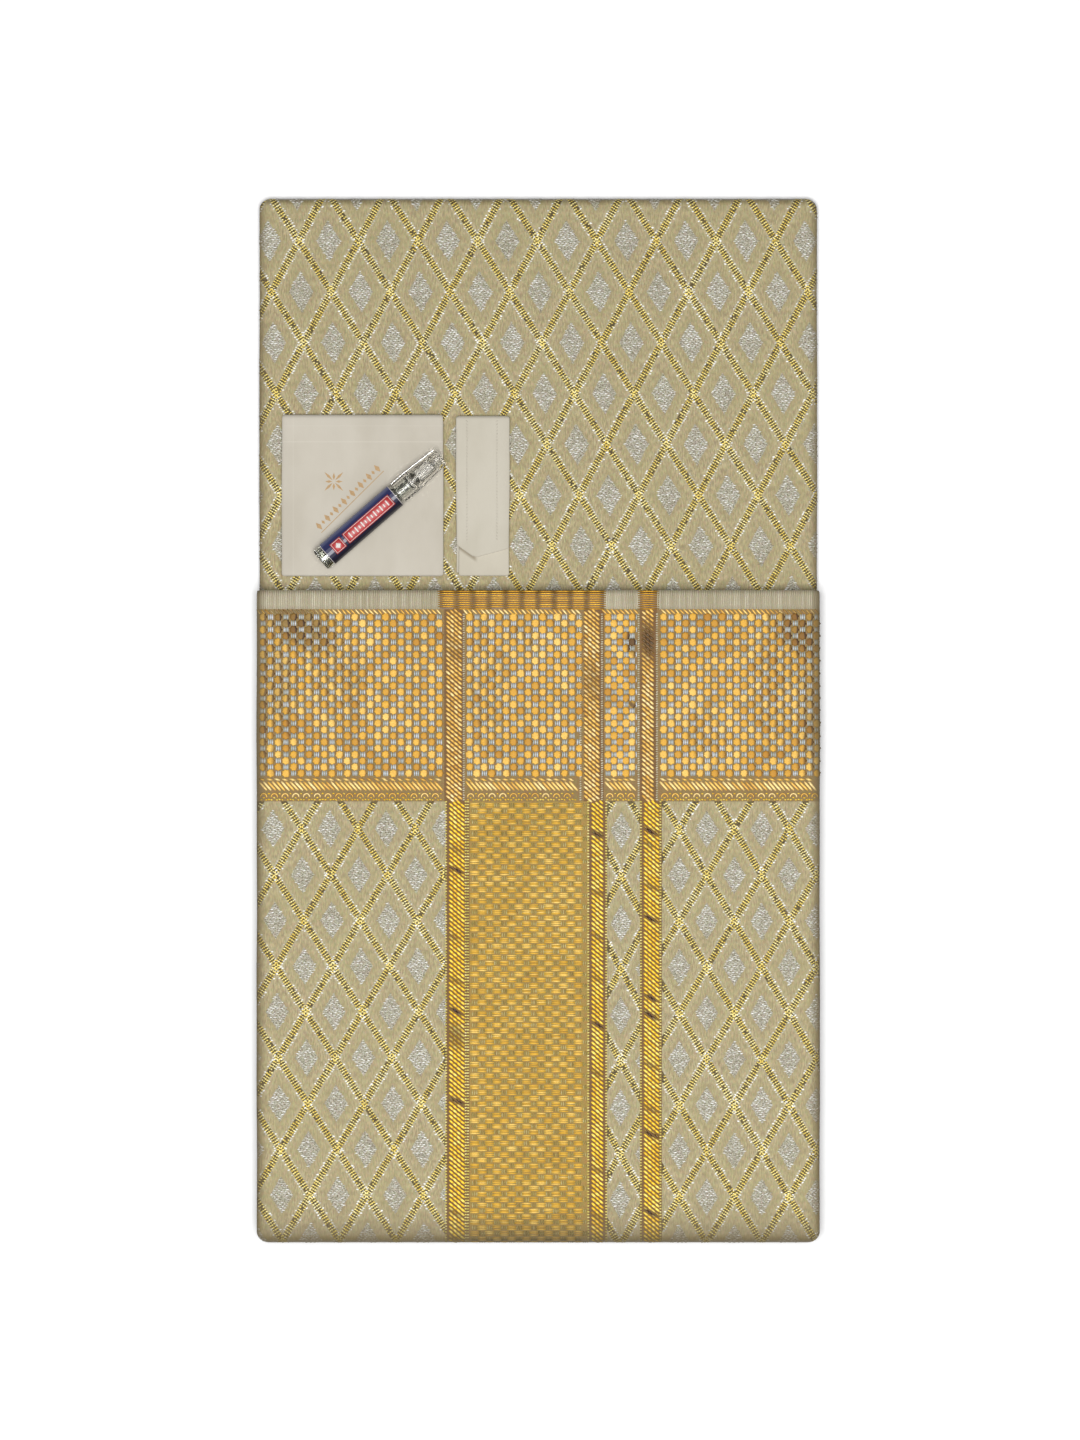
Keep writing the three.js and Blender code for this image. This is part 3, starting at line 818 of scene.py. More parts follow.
threadLooks = {                                    # dark, middle and light colours, roughness, metal share
    "yellow": ((0.72, 0.50, 0.07), (0.98, 0.80, 0.22), (1.0, 0.96, 0.58), 0.5, 0.1),
    "silver": ((0.30, 0.27, 0.18), (0.62, 0.60, 0.50), (0.98, 0.98, 0.94), 0.5, 0.1),
    "gold": ((0.76, 0.43, 0.015), (1.0, 0.65, 0.040), (1.0, 0.83, 0.20), 0.48, 0.15),
    "dot": ((0.44, 0.195, 0.012), (0.76, 0.42, 0.045), (0.95, 0.64, 0.17), 0.62, 0.0),
    "rose": ((0.56, 0.29, 0.045), (0.92, 0.57, 0.125), (1.0, 0.83, 0.42), 0.5, 0.12),
    "blue": ((0.31, 0.34, 0.31), (0.42, 0.47, 0.47), (0.60, 0.62, 0.68), 0.5, 0.1),
    "pale": ((0.35, 0.305, 0.18), (0.475, 0.42, 0.29), (0.66, 0.62, 0.48), 0.5, 0.1),
    "level": ((0.34, 0.16, 0.004), (0.52, 0.27, 0.008), (0.72, 0.42, 0.03), 0.42, 0.55),
    "basket": ((0.54, 0.29, 0.02), (0.78, 0.46, 0.045), (0.96, 0.70, 0.20), 0.5, 0.12),
    "lime": ((0.42, 0.36, 0.06), (0.76, 0.64, 0.16), (0.94, 0.86, 0.42), 0.5, 0.1),
    "olive": ((0.22, 0.17, 0.04), (0.40, 0.33, 0.11), (0.60, 0.53, 0.26), 0.5, 0.1),
    "sash": ((0.38, 0.35, 0.27), (0.45, 0.42, 0.34), (0.53, 0.50, 0.42), 0.6, 0.0),
}
threadStops = {"yellow": (0.0, 0.4, 1.0), "silver": (0.0, 0.35, 0.7)}
threads = {}
for name, (*colours, roughness, metallic) in threadLooks.items():
    stops = list(zip(threadStops.get(name, (0.0, 0.5, 1.0)), colours))
    threads[name] = threadMaterial(name + "Thread", stops, roughness, metallic, sided=name == "dot")
print("finishes ready")


# back cloth
backCloth = pileOf(
    half=159.0, middle=0.0, near=-294.6, far=297.4, nearCorner=4, farCorner=6.5, hinge=4.15, low=0.0, high=8.3,
    ply=0.3875, thickness=0.30, edgeReach=9, edgeKeep=0.55, waveHeight=0.10, sideWobble=0.10,
    waves=((21.0, 9.0, 0.3), (-13.0, 26.0, 1.7), (34.0, -17.0, 4.1)), grid=(22, 1.3, 8))
panel = 4 * backCloth["ply"]
farTurn = backCloth["far"] - 4.15 * mm
backLevels = [level * mm for level in (0.775, 7.525, 5.975, 2.325)]
backMoves = [("to", farTurn), ("turn", backLevels[1], 1), ("to", backCloth["near"] + panel),
             ("turn", backLevels[2], -1), ("to", farTurn), ("turn", backLevels[3], 1),
             ("to", backCloth["near"] + 0.8 * mm)]
section, topLeg = doubledSection(backCloth["half"], backCloth["ply"], backCloth["grid"])
backPath = foldPath((backCloth["near"] + 0.3 * mm, backLevels[0]), backMoves,
                    {**backCloth["grid"], "fine": 2.6 * mm, "turnSteps": 12})
backPiece = foldedCloth("backCloth", backCloth, section, topLeg, backPath, 2, [brocades["upper"]])
backTop = topSheet("backTop", backCloth, section, topLeg, backPath, 2, 0.05)
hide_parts("back_cloth_underside", "back_cloth_face")
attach(backPiece, "back_cloth")
print("back cloth folded", len(backPiece.data.polygons))


# threads of a lattice: gold pairs along both line families, pale flecks outside, silver floats in each cell
stitch = threadBar("stitch", 1.15 * mm, 0.95 * mm, 0.26 * mm, 4, 3, 0.6)
fleck = threadBar("fleck", 1.25 * mm, 1.0 * mm, 0.26 * mm, 4, 3, 0.6)
silverFloat = threadBar("silverFloat", 1.85 * mm, 0.84 * mm, 0.26 * mm)
latticeWork = {"step": 1.36, "places": (-1.45, 0.0, 1.45), "outside": 2.75, "floatPitch": (2.35, 1.26)}


def latticeThreads(prefix, cloth, lattice, low, high, seed):
    low, high = tuple(v * mm for v in low), tuple(v * mm for v in high)
    origin, across, slant = (np.array(lattice[key]) for key in ("origin", "across", "slant"))
    gold, pale = [], []
    for k, way in enumerate((slant, slant - across)):
        step = way * latticeWork["step"] / abs(way[1])
        for n, place in enumerate(latticeWork["places"]):
            shift = origin + (place, 0) + step * (0.5 * (n % 2))
            gold.append(layThreads(prefix + "Gold", cloth, stitch, threads["yellow"], shift * mm, across * mm,
                                   step * mm, low, high, turn=0.25 - 0.5 * k, turnSpread=0.30,
                                   placeSpread=0.12 * mm, sizeSpread=0.16, keep=0.97, seed=seed + 4 * k + n))
        for side in (-1, 1):
            shift = origin + (side * latticeWork["outside"], 0) + step * 0.5
            pale.append(layThreads(prefix + "Pale", cloth, fleck, threads["silver"], shift * mm, across * mm,
                                   step * mm, low, high, turn=0.2, turnSpread=0.6, placeSpread=0.28 * mm,
                                   sizeSpread=0.28, keep=0.62, seed=seed + 20 + 2 * k + side))
    det = across[0] * slant[1]
    first = np.array((slant[1], -(slant[0] - across[0]))) / det
    second = np.array((-slant[1], slant[0])) / det
    pitchX, pitchY = latticeWork["floatPitch"]
    silver = layThreads(prefix + "Silver", cloth, silverFloat, threads["silver"], origin * mm,
                        np.array((pitchX, 0.25)) * mm, np.array((pitchX * 0.4, pitchY)) * mm, low, high,
                        turn=0.12, turnSpread=0.35, placeSpread=0.28 * mm, sizeSpread=0.30,
                        cellOrigin=(*(origin * mm), 0.0), cellS=(*(first / mm), 0.0),
                        cellT=(*(second / mm), 0.0), cellReach=0.207, seed=seed + 50)
    return gold, pale, [silver]


parts = latticeThreads("back", backTop, lattices["upper"], (-159.5, 60.0), (159.5, 302.0), 11)
for name, pieces in zip(("backGoldStitches", "backPaleStitches", "backSilverFloats"), parts):
    threadPiece(name, pieces, "back_cloth")


# front cloth
frontCloth = pileOf(
    half=160.0, middle=0.0, near=-297.4, far=73.6, nearCorner=6.8, farCorner=1.6, hinge=14.75, low=8.6,
    high=20.9,
    ply=0.3, thickness=0.24, edgeReach=9, edgeKeep=0.55, waveHeight=0.16, sideWobble=0.12,
    waves=((17.0, 11.0, 1.3), (-23.0, 14.0, 0.4), (9.0, -31.0, 2.2)), grid=(16, 1.3, 8))
bandMarks = (-56.0, -53.3, -52.4, -42.0, -39.1, 26.0, 28.5, 37.3, 39.0, 57.8, 67.4, 70.2)
rowMarks = (62.9, 60.4, -32.5, -46.3)
pitch = 4 * frontCloth["ply"]
bendPlace = frontCloth["near"] + 6.15 * mm
frontSection, frontLeg = doubledSection(frontCloth["half"], frontCloth["ply"], frontCloth["grid"],
                                        [m * mm for m in bandMarks])
wrapMoves = [("to", bendPlace), ("turn", 9.2 * mm, -1), ("to", frontCloth["far"] - 1.2 * mm)]
wrapPath = foldPath((frontCloth["far"], 20.3 * mm), wrapMoves,
                    {**frontCloth["grid"], "fine": 2.0 * mm, "turnSteps": 20}, [m * mm for m in rowMarks])
frontMaterials = [brocades["left"], brocades["right"], brocades["strip"], headerGrey, headerGold, borderGround,
                  bandGround, basketGround]


def frontSlot(u, v):
    x, y = u / mm, v / mm
    if y > 62.9:
        return 4 if -56.0 < x < 37.3 or 57.8 < x < 67.4 else 3
    if y > -46.3:
        return 6 if -53.3 < x < -42.0 or 26.0 < x < 37.3 or 57.8 < x < 67.4 else 5
    if -52.4 < x < -39.1 or 28.5 < x < 39.0 or 57.8 < x < 70.2:
        return 6
    return 7 if -39.1 < x < 28.5 else 0 if x < 0 else 2 if x < 57.8 else 1


wrapPiece = foldedCloth("frontWrap", frontCloth, frontSection, frontLeg, wrapPath, 0, frontMaterials,
                        frontSlot)
frontTop = topSheet("frontTop", frontCloth, frontSection, frontLeg, wrapPath, 0, -0.2999)
turnMoves = [("to", frontCloth["far"] - pitch), ("turn", 9.2 * mm + pitch, 1)]
hingeHeight = frontCloth["hinge"]
for k in range(1, 9):
    height = 9.2 * mm + k * pitch
    if k % 2:                                      # toward the near fold, which it fills inside
        reach = max(abs(height - pitch / 2 - hingeHeight), abs(height + 1.5 * pitch - hingeHeight))
        bulge = math.sqrt(max(0.0, (4.85 * mm) ** 2 - reach ** 2))
        turnMoves += [("to", bendPlace - bulge + pitch), ("turn", height + pitch, -1)]
    else:
        shy = (0.2, 0.7, 0.35, 0.0)[k // 2 - 1] * mm
        turnMoves += [("to", frontCloth["far"] - pitch - shy)]
        if k < 8:
            turnMoves += [("turn", height + pitch, 1)]
turnSection, turnLeg = doubledSection(frontCloth["half"], frontCloth["ply"],
                                      {**frontCloth["grid"], "coarse": 40 * mm, "fine": 1.5 * mm,
                                       "turnSteps": 5})
turnPath = foldPath((frontCloth["far"] - pitch - 0.5 * mm, 9.2 * mm), turnMoves,
                    {**frontCloth["grid"], "coarse": 30 * mm, "fine": 3 * mm})
turnPiece = foldedCloth("frontTurns", frontCloth, turnSection, turnLeg, turnPath, 0, [brocades["left"]])
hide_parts("front_cloth_leaf")
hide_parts("front_cloth_stack")
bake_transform(wrapPiece)
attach(turnPiece, "front_cloth")
print("front cloth folded", len(wrapPiece.data.polygons), len(turnPiece.data.polygons))



def layRows(name, thread, unit, steps, start, low, high, **more):
    scaled = {k: v * mm if k == "placeSpread" else v for k, v in more.items()}
    return layThreads(name, frontTop, unit, thread, np.array(start) * mm, np.array(steps[0]) * mm,
                      np.array(steps[1]) * mm, tuple(v * mm for v in low), tuple(v * mm for v in high),
                      **scaled)


def soil(piece, marks):
    # tarnish: each mark is a place, its reach each way and its strength
    spots = readSpots(piece) / mm
    value = np.zeros(len(spots))
    for x, y, rx, ry, strength in marks:
        beside = spots[:, 0] - x
        away = (beside / rx) ** 2 + ((spots[:, 1] - y + 0.45 * beside) / ry) ** 2
        value = np.maximum(value, strength * np.exp(-away ** 2))
    writeMark(piece, "tarnish", value)


# the front cloth's lattice areas
areas = [latticeThreads(key, frontTop, lattices[key], (west, -299.0), (east, -47.0), seed)
         for key, west, east, seed in (("left", -159.5, -53.2, 101), ("strip", 40.0, 57.4, 201),
                                       ("right", 71.0, 159.5, 301))]
for k, name in enumerate(("frontGoldStitches", "frontPaleStitches", "frontSilverFloats")):
    threadPiece(name, [part for area in areas for part in area[k]], "front_leaf")

# the woven border: dots with pale cells between, a stitched row above and chevrons with arches below
border = {
    "areas": ((-159.0, -54.2, 8.72), (-41.4, 23.4, 8.30), (37.6, 56.0, 6.84), (68.8, 159.0, 8.30)),
    "rowPitch": 3.55, "high": 59.4, "low": -32.2,
    "dotRadius": 2.48, "dotHeight": 0.38, "cell": (3.0, 2.9),
}
dot = rosetteDot("dot", border["dotRadius"] * mm, border["dotHeight"] * mm)
cellBar = threadBar("cellBar", border["cell"][1] * mm, 0.98 * mm, 0.20 * mm, 4, 3, 0.8)
slantBar = threadBar("slantBar", 3.9 * mm, 1.1 * mm, 0.30 * mm, 4, 4, 0.7)
chevronBar = threadBar("chevronBar", 6.8 * mm, 1.45 * mm, 0.32 * mm, 4, 5, 0.7)
rowKnot = threadBar("rowKnot", 3.5 * mm, 1.9 * mm, 0.34 * mm)
arch = archUnit("arch", 1.75 * mm, 1.15 * mm, 0.34 * mm)
knot = threadBar("knot", 1.3 * mm, 1.1 * mm, 0.34 * mm)
dots, cells, slants, chevrons = [], [], [], []
for n, (west, east, dotPitch) in enumerate(border["areas"]):
    low, high = (west, border["low"]), (east, border["high"])
    steps = ((dotPitch, 0), (dotPitch / 2, -border["rowPitch"]))
    start = np.array((west + dotPitch * 0.3, border["high"] - 1.0))
    dots.append(layRows("dots", threads["dot"], dot, steps, start, low, high, turnSpread=0.25, placeSpread=0.10,
                        sizeSpread=0.07, seed=401 + n))
    for side in (-1, 0, 1):
        shift = start + (dotPitch / 2 + side * 1.02, 0)
        cells.append(layRows("cells", threads["blue"], cellBar, steps, shift, low, high, turn=math.pi / 2,
                             turnSpread=0.06, placeSpread=0.06, sizeSpread=0.08, seed=411 + 3 * n + side))
    slants.append(layRows("slants", threads["rose"], slantBar, ((2.56, 0), (0, 50.0)), (west, 61.4),
                          (west, 61.3),
                          (east, 61.5), turn=-0.80, turnSpread=0.08, sizeSpread=0.06, seed=431 + n))
    chevrons.append(layRows("chevrons", threads["rose"], chevronBar, ((2.56, 0), (0, 50.0)), (west, -37.6),
                            (west + 1, -37.7), (east - 1, -37.5), turn=-0.82, turnSpread=0.04, sizeSpread=0.04,
                            seed=441 + n))
    chevrons.append(layRows("rowKnots", threads["rose"], rowKnot, ((dotPitch / 2, 0), (0, 50.0)),
                            (west + 2.0, -33.9),
                            (west + 1, -34.0), (east - 1, -33.8), turn=-0.25, turnSpread=0.2, placeSpread=0.08,
                            sizeSpread=0.1, seed=481 + n))
    chevrons.append(layRows("arches", threads["rose"], arch, ((6.1, 0), (0, 50.0)), (west + 3, -43.6),
                            (west + 1.5, -43.7), (east - 1.5, -43.5), turnSpread=0.06, sizeSpread=0.05,
                            seed=451 + n))
    for dx, dy in ((0.0, -44.2), (3.05, -41.9), (3.05, -45.2), (1.5, -45.4), (-1.5, -45.4)):
        chevrons.append(layRows("knots", threads["gold"], knot, ((6.1, 0), (0, 50.0)), (west + 3 + dx, dy),
                                (west + 1, dy - 0.1), (east - 1, dy + 0.1), turnSpread=0.5, placeSpread=0.08,
                                sizeSpread=0.12, seed=461 + 5 * n))

# woven bands: slanting floats in rows, with a stitched column along each edge
bands = {
    "upper": ((-53.2, -43.0), (25.0, 35.4), (57.9, 66.6)),
    "lower": ((-51.6, -42.2), (29.3, 38.0), (59.0, 68.6)),
    "step": (2.15, -1.85), "pitch": 2.61,
    "upperEdges": (-42.3, 24.0, 36.2, 57.0, 67.4),
    "lowerEdges": (-52.4, -41.2, -39.9, 28.4, 38.6, 58.3, 69.4),
}
twill = threadBar("twill", 3.0 * mm, 1.42 * mm, 0.34 * mm, 4, 4, 0.75)
edgeStitch = threadBar("edgeStitch", 1.35 * mm, 1.0 * mm, 0.28 * mm, 4, 3, 0.6)
ribs, edges = [], []
for n in range(3):
    for thread, key, south, north in ((threads["rose"], "upper", -46.0, 62.4),
                                      (threads["gold"], "lower", -298.6, -46.4)):
        west, east = bands[key][n]
        ribs.append(layRows("twill", thread, twill, (bands["step"], (0, -bands["pitch"])), (west, north),
                            (west + 0.6, south), (east - 0.2, north), turn=-0.71, turnSpread=0.07,
                            placeSpread=0.07, sizeSpread=0.08, seed=501 + n))
for n, x in enumerate(bands["upperEdges"]):
    edges.append(layRows("edges", threads["pale"], edgeStitch, ((50, 0), (0, -1.3)), (x, 60.0), (x - 0.5,
                                                                                                 -46.0),
                         (x + 0.5, 60.2), turn=0.3, turnSpread=0.4, placeSpread=0.08, sizeSpread=0.12,
                         seed=521 + n))
for n, x in enumerate(bands["lowerEdges"]):
    edges.append(layRows("edges", threads["lime"], edgeStitch, ((50, 0), (0, -1.64)), (x, -46.5),
                         (x - 0.5, -298.8),
                         (x + 0.5, -46.4), turnSpread=0.25, placeSpread=0.06, sizeSpread=0.10, seed=541 + n))

# basket panel: short gold floats set half a step apart from row to row
basket = {"west": -38.6, "east": 27.9, "pitch": 8.4, "rowPitch": 3.2, "float": (5.3, 2.1)}
basketFloat = threadBar("basketFloat", basket["float"][0] * mm, 0.84 * mm, 0.28 * mm, 4, 4, 0.65)
basketWarp = threadBar("basketWarp", 2.5 * mm, 1.0 * mm, 0.20 * mm, 3, 3, 0.6)
floats = []
for n, east in enumerate((-1.2, 0.0, 1.2)):
    floats.append(layRows("basketWarp", threads["olive"], basketWarp,
                          ((basket["pitch"], 0), (basket["pitch"] / 2, -basket["rowPitch"])),
                          (basket["west"] + 2.5 + basket["pitch"] / 2 + east, -48.5),
                          (basket["west"] - 0.2, -298.5),
                          (basket["east"] + 0.2, -47.6), turn=math.pi / 2, turnSpread=0.06, placeSpread=0.08,
                          sizeSpread=0.08, seed=571 + n))
for n, rise in enumerate((-0.9, 0.0, 0.9)):
    floats.append(layRows("basket", threads["basket"], basketFloat,
                          ((basket["pitch"], 0), (basket["pitch"] / 2, -basket["rowPitch"])),
                          (basket["west"] + 2.5, -48.5 + rise), (basket["west"] + 1.0, -298.5),
                          (basket["east"] - 1.5, -47.6 + rise), turnSpread=0.05, placeSpread=0.10,
                          sizeSpread=0.08, seed=561 + n))

# header: upright ribs, and level gold ribs over the bands
uprightRib = threadBar("uprightRib", 10.6 * mm, 0.85 * mm, 0.20 * mm, 3, 4, 0.8)
levelRib = threadBar("levelRib", 12.5 * mm, 0.72 * mm, 0.24 * mm, 4, 4, 0.8)
headerRibs, headerLevels = [], []
for n, (west, east) in enumerate(((-159.6, -56.4), (37.6, 57.4), (67.8, 159.6))):
    headerRibs.append(layRows("headerRibs", threads["pale"], uprightRib, ((1.25, 0), (0, 50.0)), (west, 68.1),
                              (west, 68.0), (east, 68.2), turn=math.pi / 2, turnSpread=0.012, placeSpread=0.03,
                              sizeSpread=0.01, seed=581 + n))
for n, (west, east) in enumerate(((-56.0, 37.3), (57.8, 67.4))):
    headerLevels.append(layRows("headerLevels", threads["level"], levelRib, ((9.3, 0), (0, -1.25)),
                                (west + 4.7, 73.0),
                                (west + 2.0, 63.0), (east - 2.0, 73.2), turnSpread=0.006, placeSpread=0.03,
                                sizeSpread=0.02, seed=591 + n))

tarnish = {
    "bandTwill": ((-47.0, -73.7, 5, 1.9, 0.5), (-47.0, -85.1, 6, 1.5, 1), (-48.5, -123.3, 4, 1.9, 0.62),
              (-46.5, -148.3, 5, 1.8, 0.62), (-47.0, -165.4, 6, 1.6, 1), (-47.0, -179.5, 6, 8, 0.62),
              (-46.0, -216.7, 6, 1.8, 1), (-47.5, -280.0, 5, 1.9, 0.62), (-46.5, -295.4, 6, 1.8, 0.62),
              (34.0, -65.1, 5, 1.9, 1), (33.5, -98.2, 5, 1.6, 0.62), (34.0, -123.3, 5, 1.6, 0.62),
              (33.5, -147.2, 5, 1.5, 0.5), (34.0, -173.4, 6, 1.6, 1), (33.5, -200.8, 5, 1.8, 0.62),
              (34.5, -256.1, 5, 1.8, 0.62), (34.0, -282.3, 6, 1.9, 0.62),
              (64.0, -63.4, 6, 1.8, 1), (63.0, -70.8, 4, 1.5, 0.62), (64.5, -94.8, 5, 1.6, 0.62),
              (64.0, -113.0, 6, 1.6, 1), (64.0, -158.0, 5, 1.6, 1), (63.5, -167.7, 6, 1.9, 1),
              (64.0, -196.2, 5, 1.6, 0.62), (64.0, -221.3, 5, 1.6, 0.62), (64.5, -235.5, 6, 1.8, 1),
              (64.0, -280.0, 6, 1.6, 1), (62.5, 45.0, 6, 10.5, 0.94), (-48.0, 40.0, 5, 8, 0.31),
              (30.5, 22.0, 5, 12, 0.38)),
    "borderDots": ((-137.0, 55.0, 32, 20, 0.95), (-150.0, 25.0, 16, 36, 0.8), (-157.0, 0.0, 7, 45, 0.8),
             (-118.0, 30.0, 22, 30, 0.6), (152.0, 50.0, 26, 24, 0.9), (156.0, 8.0, 12, 50, 0.85),
             (135.0, 20.0, 16, 40, 0.6), (53.0, 43.0, 5, 8, 1.0), (53.0, 8.6, 3, 3, 1.0), (-8.0, 47.0, 8,
                                                                                           6, 0.6),
             (96.0, -10.0, 12, 18, 0.5), (-30.0, 20.0, 12, 40, 0.5)),
    "borderSlants": ((-137.0, 59.0, 25, 12, 0.8), (150.0, 59.0, 18, 12, 0.6)),
}
groups = {"borderDots": dots, "borderCells": cells, "borderSlants": slants, "borderChevrons": chevrons,
          "bandTwill": ribs, "bandEdges": edges, "basketFloats": floats, "headerRibs": headerRibs,
          "headerLevels": headerLevels}
for name, pieces in groups.items():
    soil(threadPiece(name, pieces, "front_leaf"), tarnish.get(name, ()))


# kerchief, folded in four and in four again
kerchiefCloth = pileOf(
    half=46.0, middle=-100.1, near=81.9, far=173.9, nearCorner=1.6, farCorner=1.8, hinge=10.6, low=8.6,
    high=13.1,
    ply=0.28, thickness=0.22, edgeReach=3.5, edgeKeep=0.72, waveHeight=0.10, sideWobble=0.10,
    waves=((52.0, 17.0, 0.9), (-31.0, 66.0, 2.4), (80.0, -45.0, 0.2)), grid=(6, 1.1, 4))


def bookSection(half, ply, grid):
    start, moves = bookMoves(-half, half, ply, -2 * ply)
    rows = foldPath(start, moves, grid)
    rows[:, [0, 2]] *= -1                          # so that the top ply runs toward +X
    return rows, 2


kerchiefSection, kerchiefLeg = bookSection(kerchiefCloth["half"], kerchiefCloth["ply"], kerchiefCloth["grid"])
kerchiefStart, kerchiefMoves = bookMoves(kerchiefCloth["near"], kerchiefCloth["far"], 4 * kerchiefCloth["ply"],
                                         kerchiefCloth["low"])
kerchiefPath = foldPath(kerchiefStart, kerchiefMoves, kerchiefCloth["grid"])


def clothMaterial(name, light, dark, lines=(), edgeShadow=None):
    # fine plain weave with soft creases, pale satin lines across it, and, where given, a painted shadow along a
    # slanting edge
    material, tree, shader = newMaterial(name, 0.75, 0.0, Sheen_Weight=0.35, Sheen_Roughness=0.5)
    flat = ownPlace(tree)
    weave = placeGroup(tree, weaveGroup, {
        "Map": flat, "Warp Pitch": 0.33 * mm, "Weft Pitch": 0.33 * mm})
    cloud = noise(tree, flat, 34.0, 3.0, 0.55, (1.0, 0.6, 1.0))[0]
    colour = mixColour(tree, stepped(tree, cloud, 0.3, 0.7), dark, light)
    threads = calc(tree, "MULTIPLY", stepped(tree, weave["Height"], 0.3, 1.5), 0.10)
    colour = mixColour(tree, threads, colour, light)
    colour = mixColour(tree, calc(tree, "MULTIPLY", weave["Streak"], 0.10), colour, dark)
    spot = split(tree, flat)
    for axis, place, width, strength in lines:
        away = calc(tree, "ABSOLUTE", calc(tree, "SUBTRACT", spot[axis], place * mm))
        mark = calc(tree, "SUBTRACT", 1.0, stepped(tree, away, width * 0.3 * mm, width * mm))
        colour = mixColour(tree, calc(tree, "MULTIPLY", mark, strength), colour,
                           (0.60, 0.565, 0.49) if strength > 0.15 else dark)
    if edgeShadow:                                     # a painted shadow along a slanting edge, the shadow of the sash's pointed end lying above
        start, end = Vector(edgeShadow["start"]) * mm, Vector(edgeShadow["end"]) * mm
        way = (end - start).normalized()
        out, reach = Vector((way.y, -way.x)), edgeShadow["reach"] * mm
        away = calc(tree, "SUBTRACT", vectorCalc(tree, "DOT_PRODUCT", flat, (*out, 0.0)), start.dot(out))
        mark = calc(tree, "SUBTRACT", 1.0, stepped(tree, away, 0.2 * mm, reach))
        mark = calc(tree, "MULTIPLY", mark, stepped(tree, away, -reach, 0.0))
        past = stepped(tree, calc(tree, "SUBTRACT", spot[0], end.x), 0.0, 3.0 * mm)
        mark = calc(tree, "MULTIPLY", mark, calc(tree, "SUBTRACT", 1.0, past))
        colour = mixColour(tree, calc(tree, "MULTIPLY", mark, edgeShadow["strength"]), colour, edgeShadow["colour"])
    tree.links.new(colour, shader.inputs["Base Color"])
    ripple = noise(tree, flat, 90.0, 4.0, 0.55, (2.4, 0.7, 1.0))[0]
    fine, broad = calc(tree, "MULTIPLY", weave["Height"], 0.12), calc(tree, "MULTIPLY", ripple, 2.0)
    addBump(tree, shader, calc(tree, "ADD", fine, broad), 0.14 * mm, 0.5)
    return material


kerchiefFinish = clothMaterial("kerchiefLawn", (0.500, 0.462, 0.390), (0.440, 0.402, 0.330),
                               ((0, -139.5, 0.35, 0.2), (1, 167.4, 0.3, 0.18), (1, 158.3, 0.35, 0.4)))
kerchiefPiece = foldedCloth("kerchief_cloth", kerchiefCloth, kerchiefSection, kerchiefLeg, kerchiefPath, 2,
                            [kerchiefFinish])
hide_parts("kerchief")
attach(kerchiefPiece, "kerchief")
print("kerchief folded", len(kerchiefPiece.data.polygons))

# sash, a sewn tube folded back and forth, its pointed end on top
sashCloth = pileOf(
    half=14.35, middle=-30.95, near=81.9, far=173.4, nearCorner=1.6, farCorner=2.0, hinge=10.9, low=8.6,
    high=13.2,
    ply=0.5, thickness=0.40, edgeReach=2.5, edgeKeep=0.80, waveHeight=0.08, sideWobble=0.20, bend=171.1,
    waves=((60.0, 37.0, 0.9), (-91.0, 76.0, 2.4), (30.0, -95.0, 0.2)), grid=(3, 0.9, 2.5))
sashOutline = ((-46.6, 99.7), (-36.2, 92.4), (-16.6, 97.6))
seamPlaces = (-40.6, -23.5)
sashFinish = clothMaterial("sashTwill", (0.500, 0.465, 0.385), (0.435, 0.400, 0.320),
                           [(0, x, 0.25, 0.14) for x in seamPlaces])
# the stack under the pointed end carries a painted shadow along the V's left edge
sashUnderFinish = clothMaterial("sashTwillCreased", (0.520, 0.480, 0.390), (0.455, 0.415, 0.330), (), {
    "start": sashOutline[0], "end": (-37.0, 92.9), "reach": 2.2, "strength": 0.75, "colour": (0.20, 0.16,
                                                                                              0.10)})


def pointedEnd(points, path):
    outline = np.array(sashOutline) * mm
    end = np.interp(points[..., 0], outline[:, 0], outline[:, 1])
    bend, tip = sashCloth["bend"], outline[1, 1]
    share = (bend - end) / (bend - tip)
    top = (path[:, 5] == 2)[:, None]
    y = points[..., 1]
    points[..., 1] = np.where(top, bend - (bend - y) * share, y)


leafCloth = {**sashCloth, "half": 15.0 * mm, "middle": -31.6 * mm, "nearCorner": 0.6 * mm}
leafSection, leafLeg = tubeSection(leafCloth["half"], leafCloth["ply"], leafCloth["grid"])
leafMoves = [("to", leafCloth["bend"]), ("turn", 12.42 * mm, 1), ("to", sashOutline[1][1] * mm)]
leafPath = foldPath((84.0 * mm, 9.1 * mm), leafMoves, {**leafCloth["grid"], "turnSteps": 12})
leafPiece = foldedCloth("sashWrap", leafCloth, leafSection, leafLeg, leafPath, 2, [sashFinish],
                        shape=pointedEnd)
leafTop = topSheet("leafTop", leafCloth, leafSection, leafLeg, leafPath, 2, shape=pointedEnd)
sashSection, sashLeg = tubeSection(sashCloth["half"], sashCloth["ply"], sashCloth["grid"])
sashMoves = [("to", 83.0 * mm), ("turn", 10.2 * mm, -1), ("to", 171.0 * mm), ("turn", 11.3 * mm, 1),
             ("to", 82.2 * mm)]
sashPath = foldPath((84.0 * mm, 9.1 * mm), sashMoves, sashCloth["grid"])
sashPiece = foldedCloth("sashTurns", sashCloth, sashSection, sashLeg, sashPath, 4, [sashUnderFinish])
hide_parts("sash_leaf")
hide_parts("sash_stack")
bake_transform(leafPiece)
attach(sashPiece, "sash")
sashStitch = threadBar("sashStitch", 1.1 * mm, 0.30 * mm, 0.12 * mm)
seams = []
for n, x in enumerate(seamPlaces):
    seams.append(layThreads("seams", leafTop, sashStitch, threads["sash"], (x * mm, 96 * mm), (50 * mm, 0),
                            (0, 1.9 * mm), ((x - 1) * mm, 98.5 * mm), ((x + 1) * mm, 171.5 * mm),
                            turn=math.pi / 2, turnSpread=0.1, placeSpread=0.05 * mm, sizeSpread=0.1,
                            seed=601 + n))
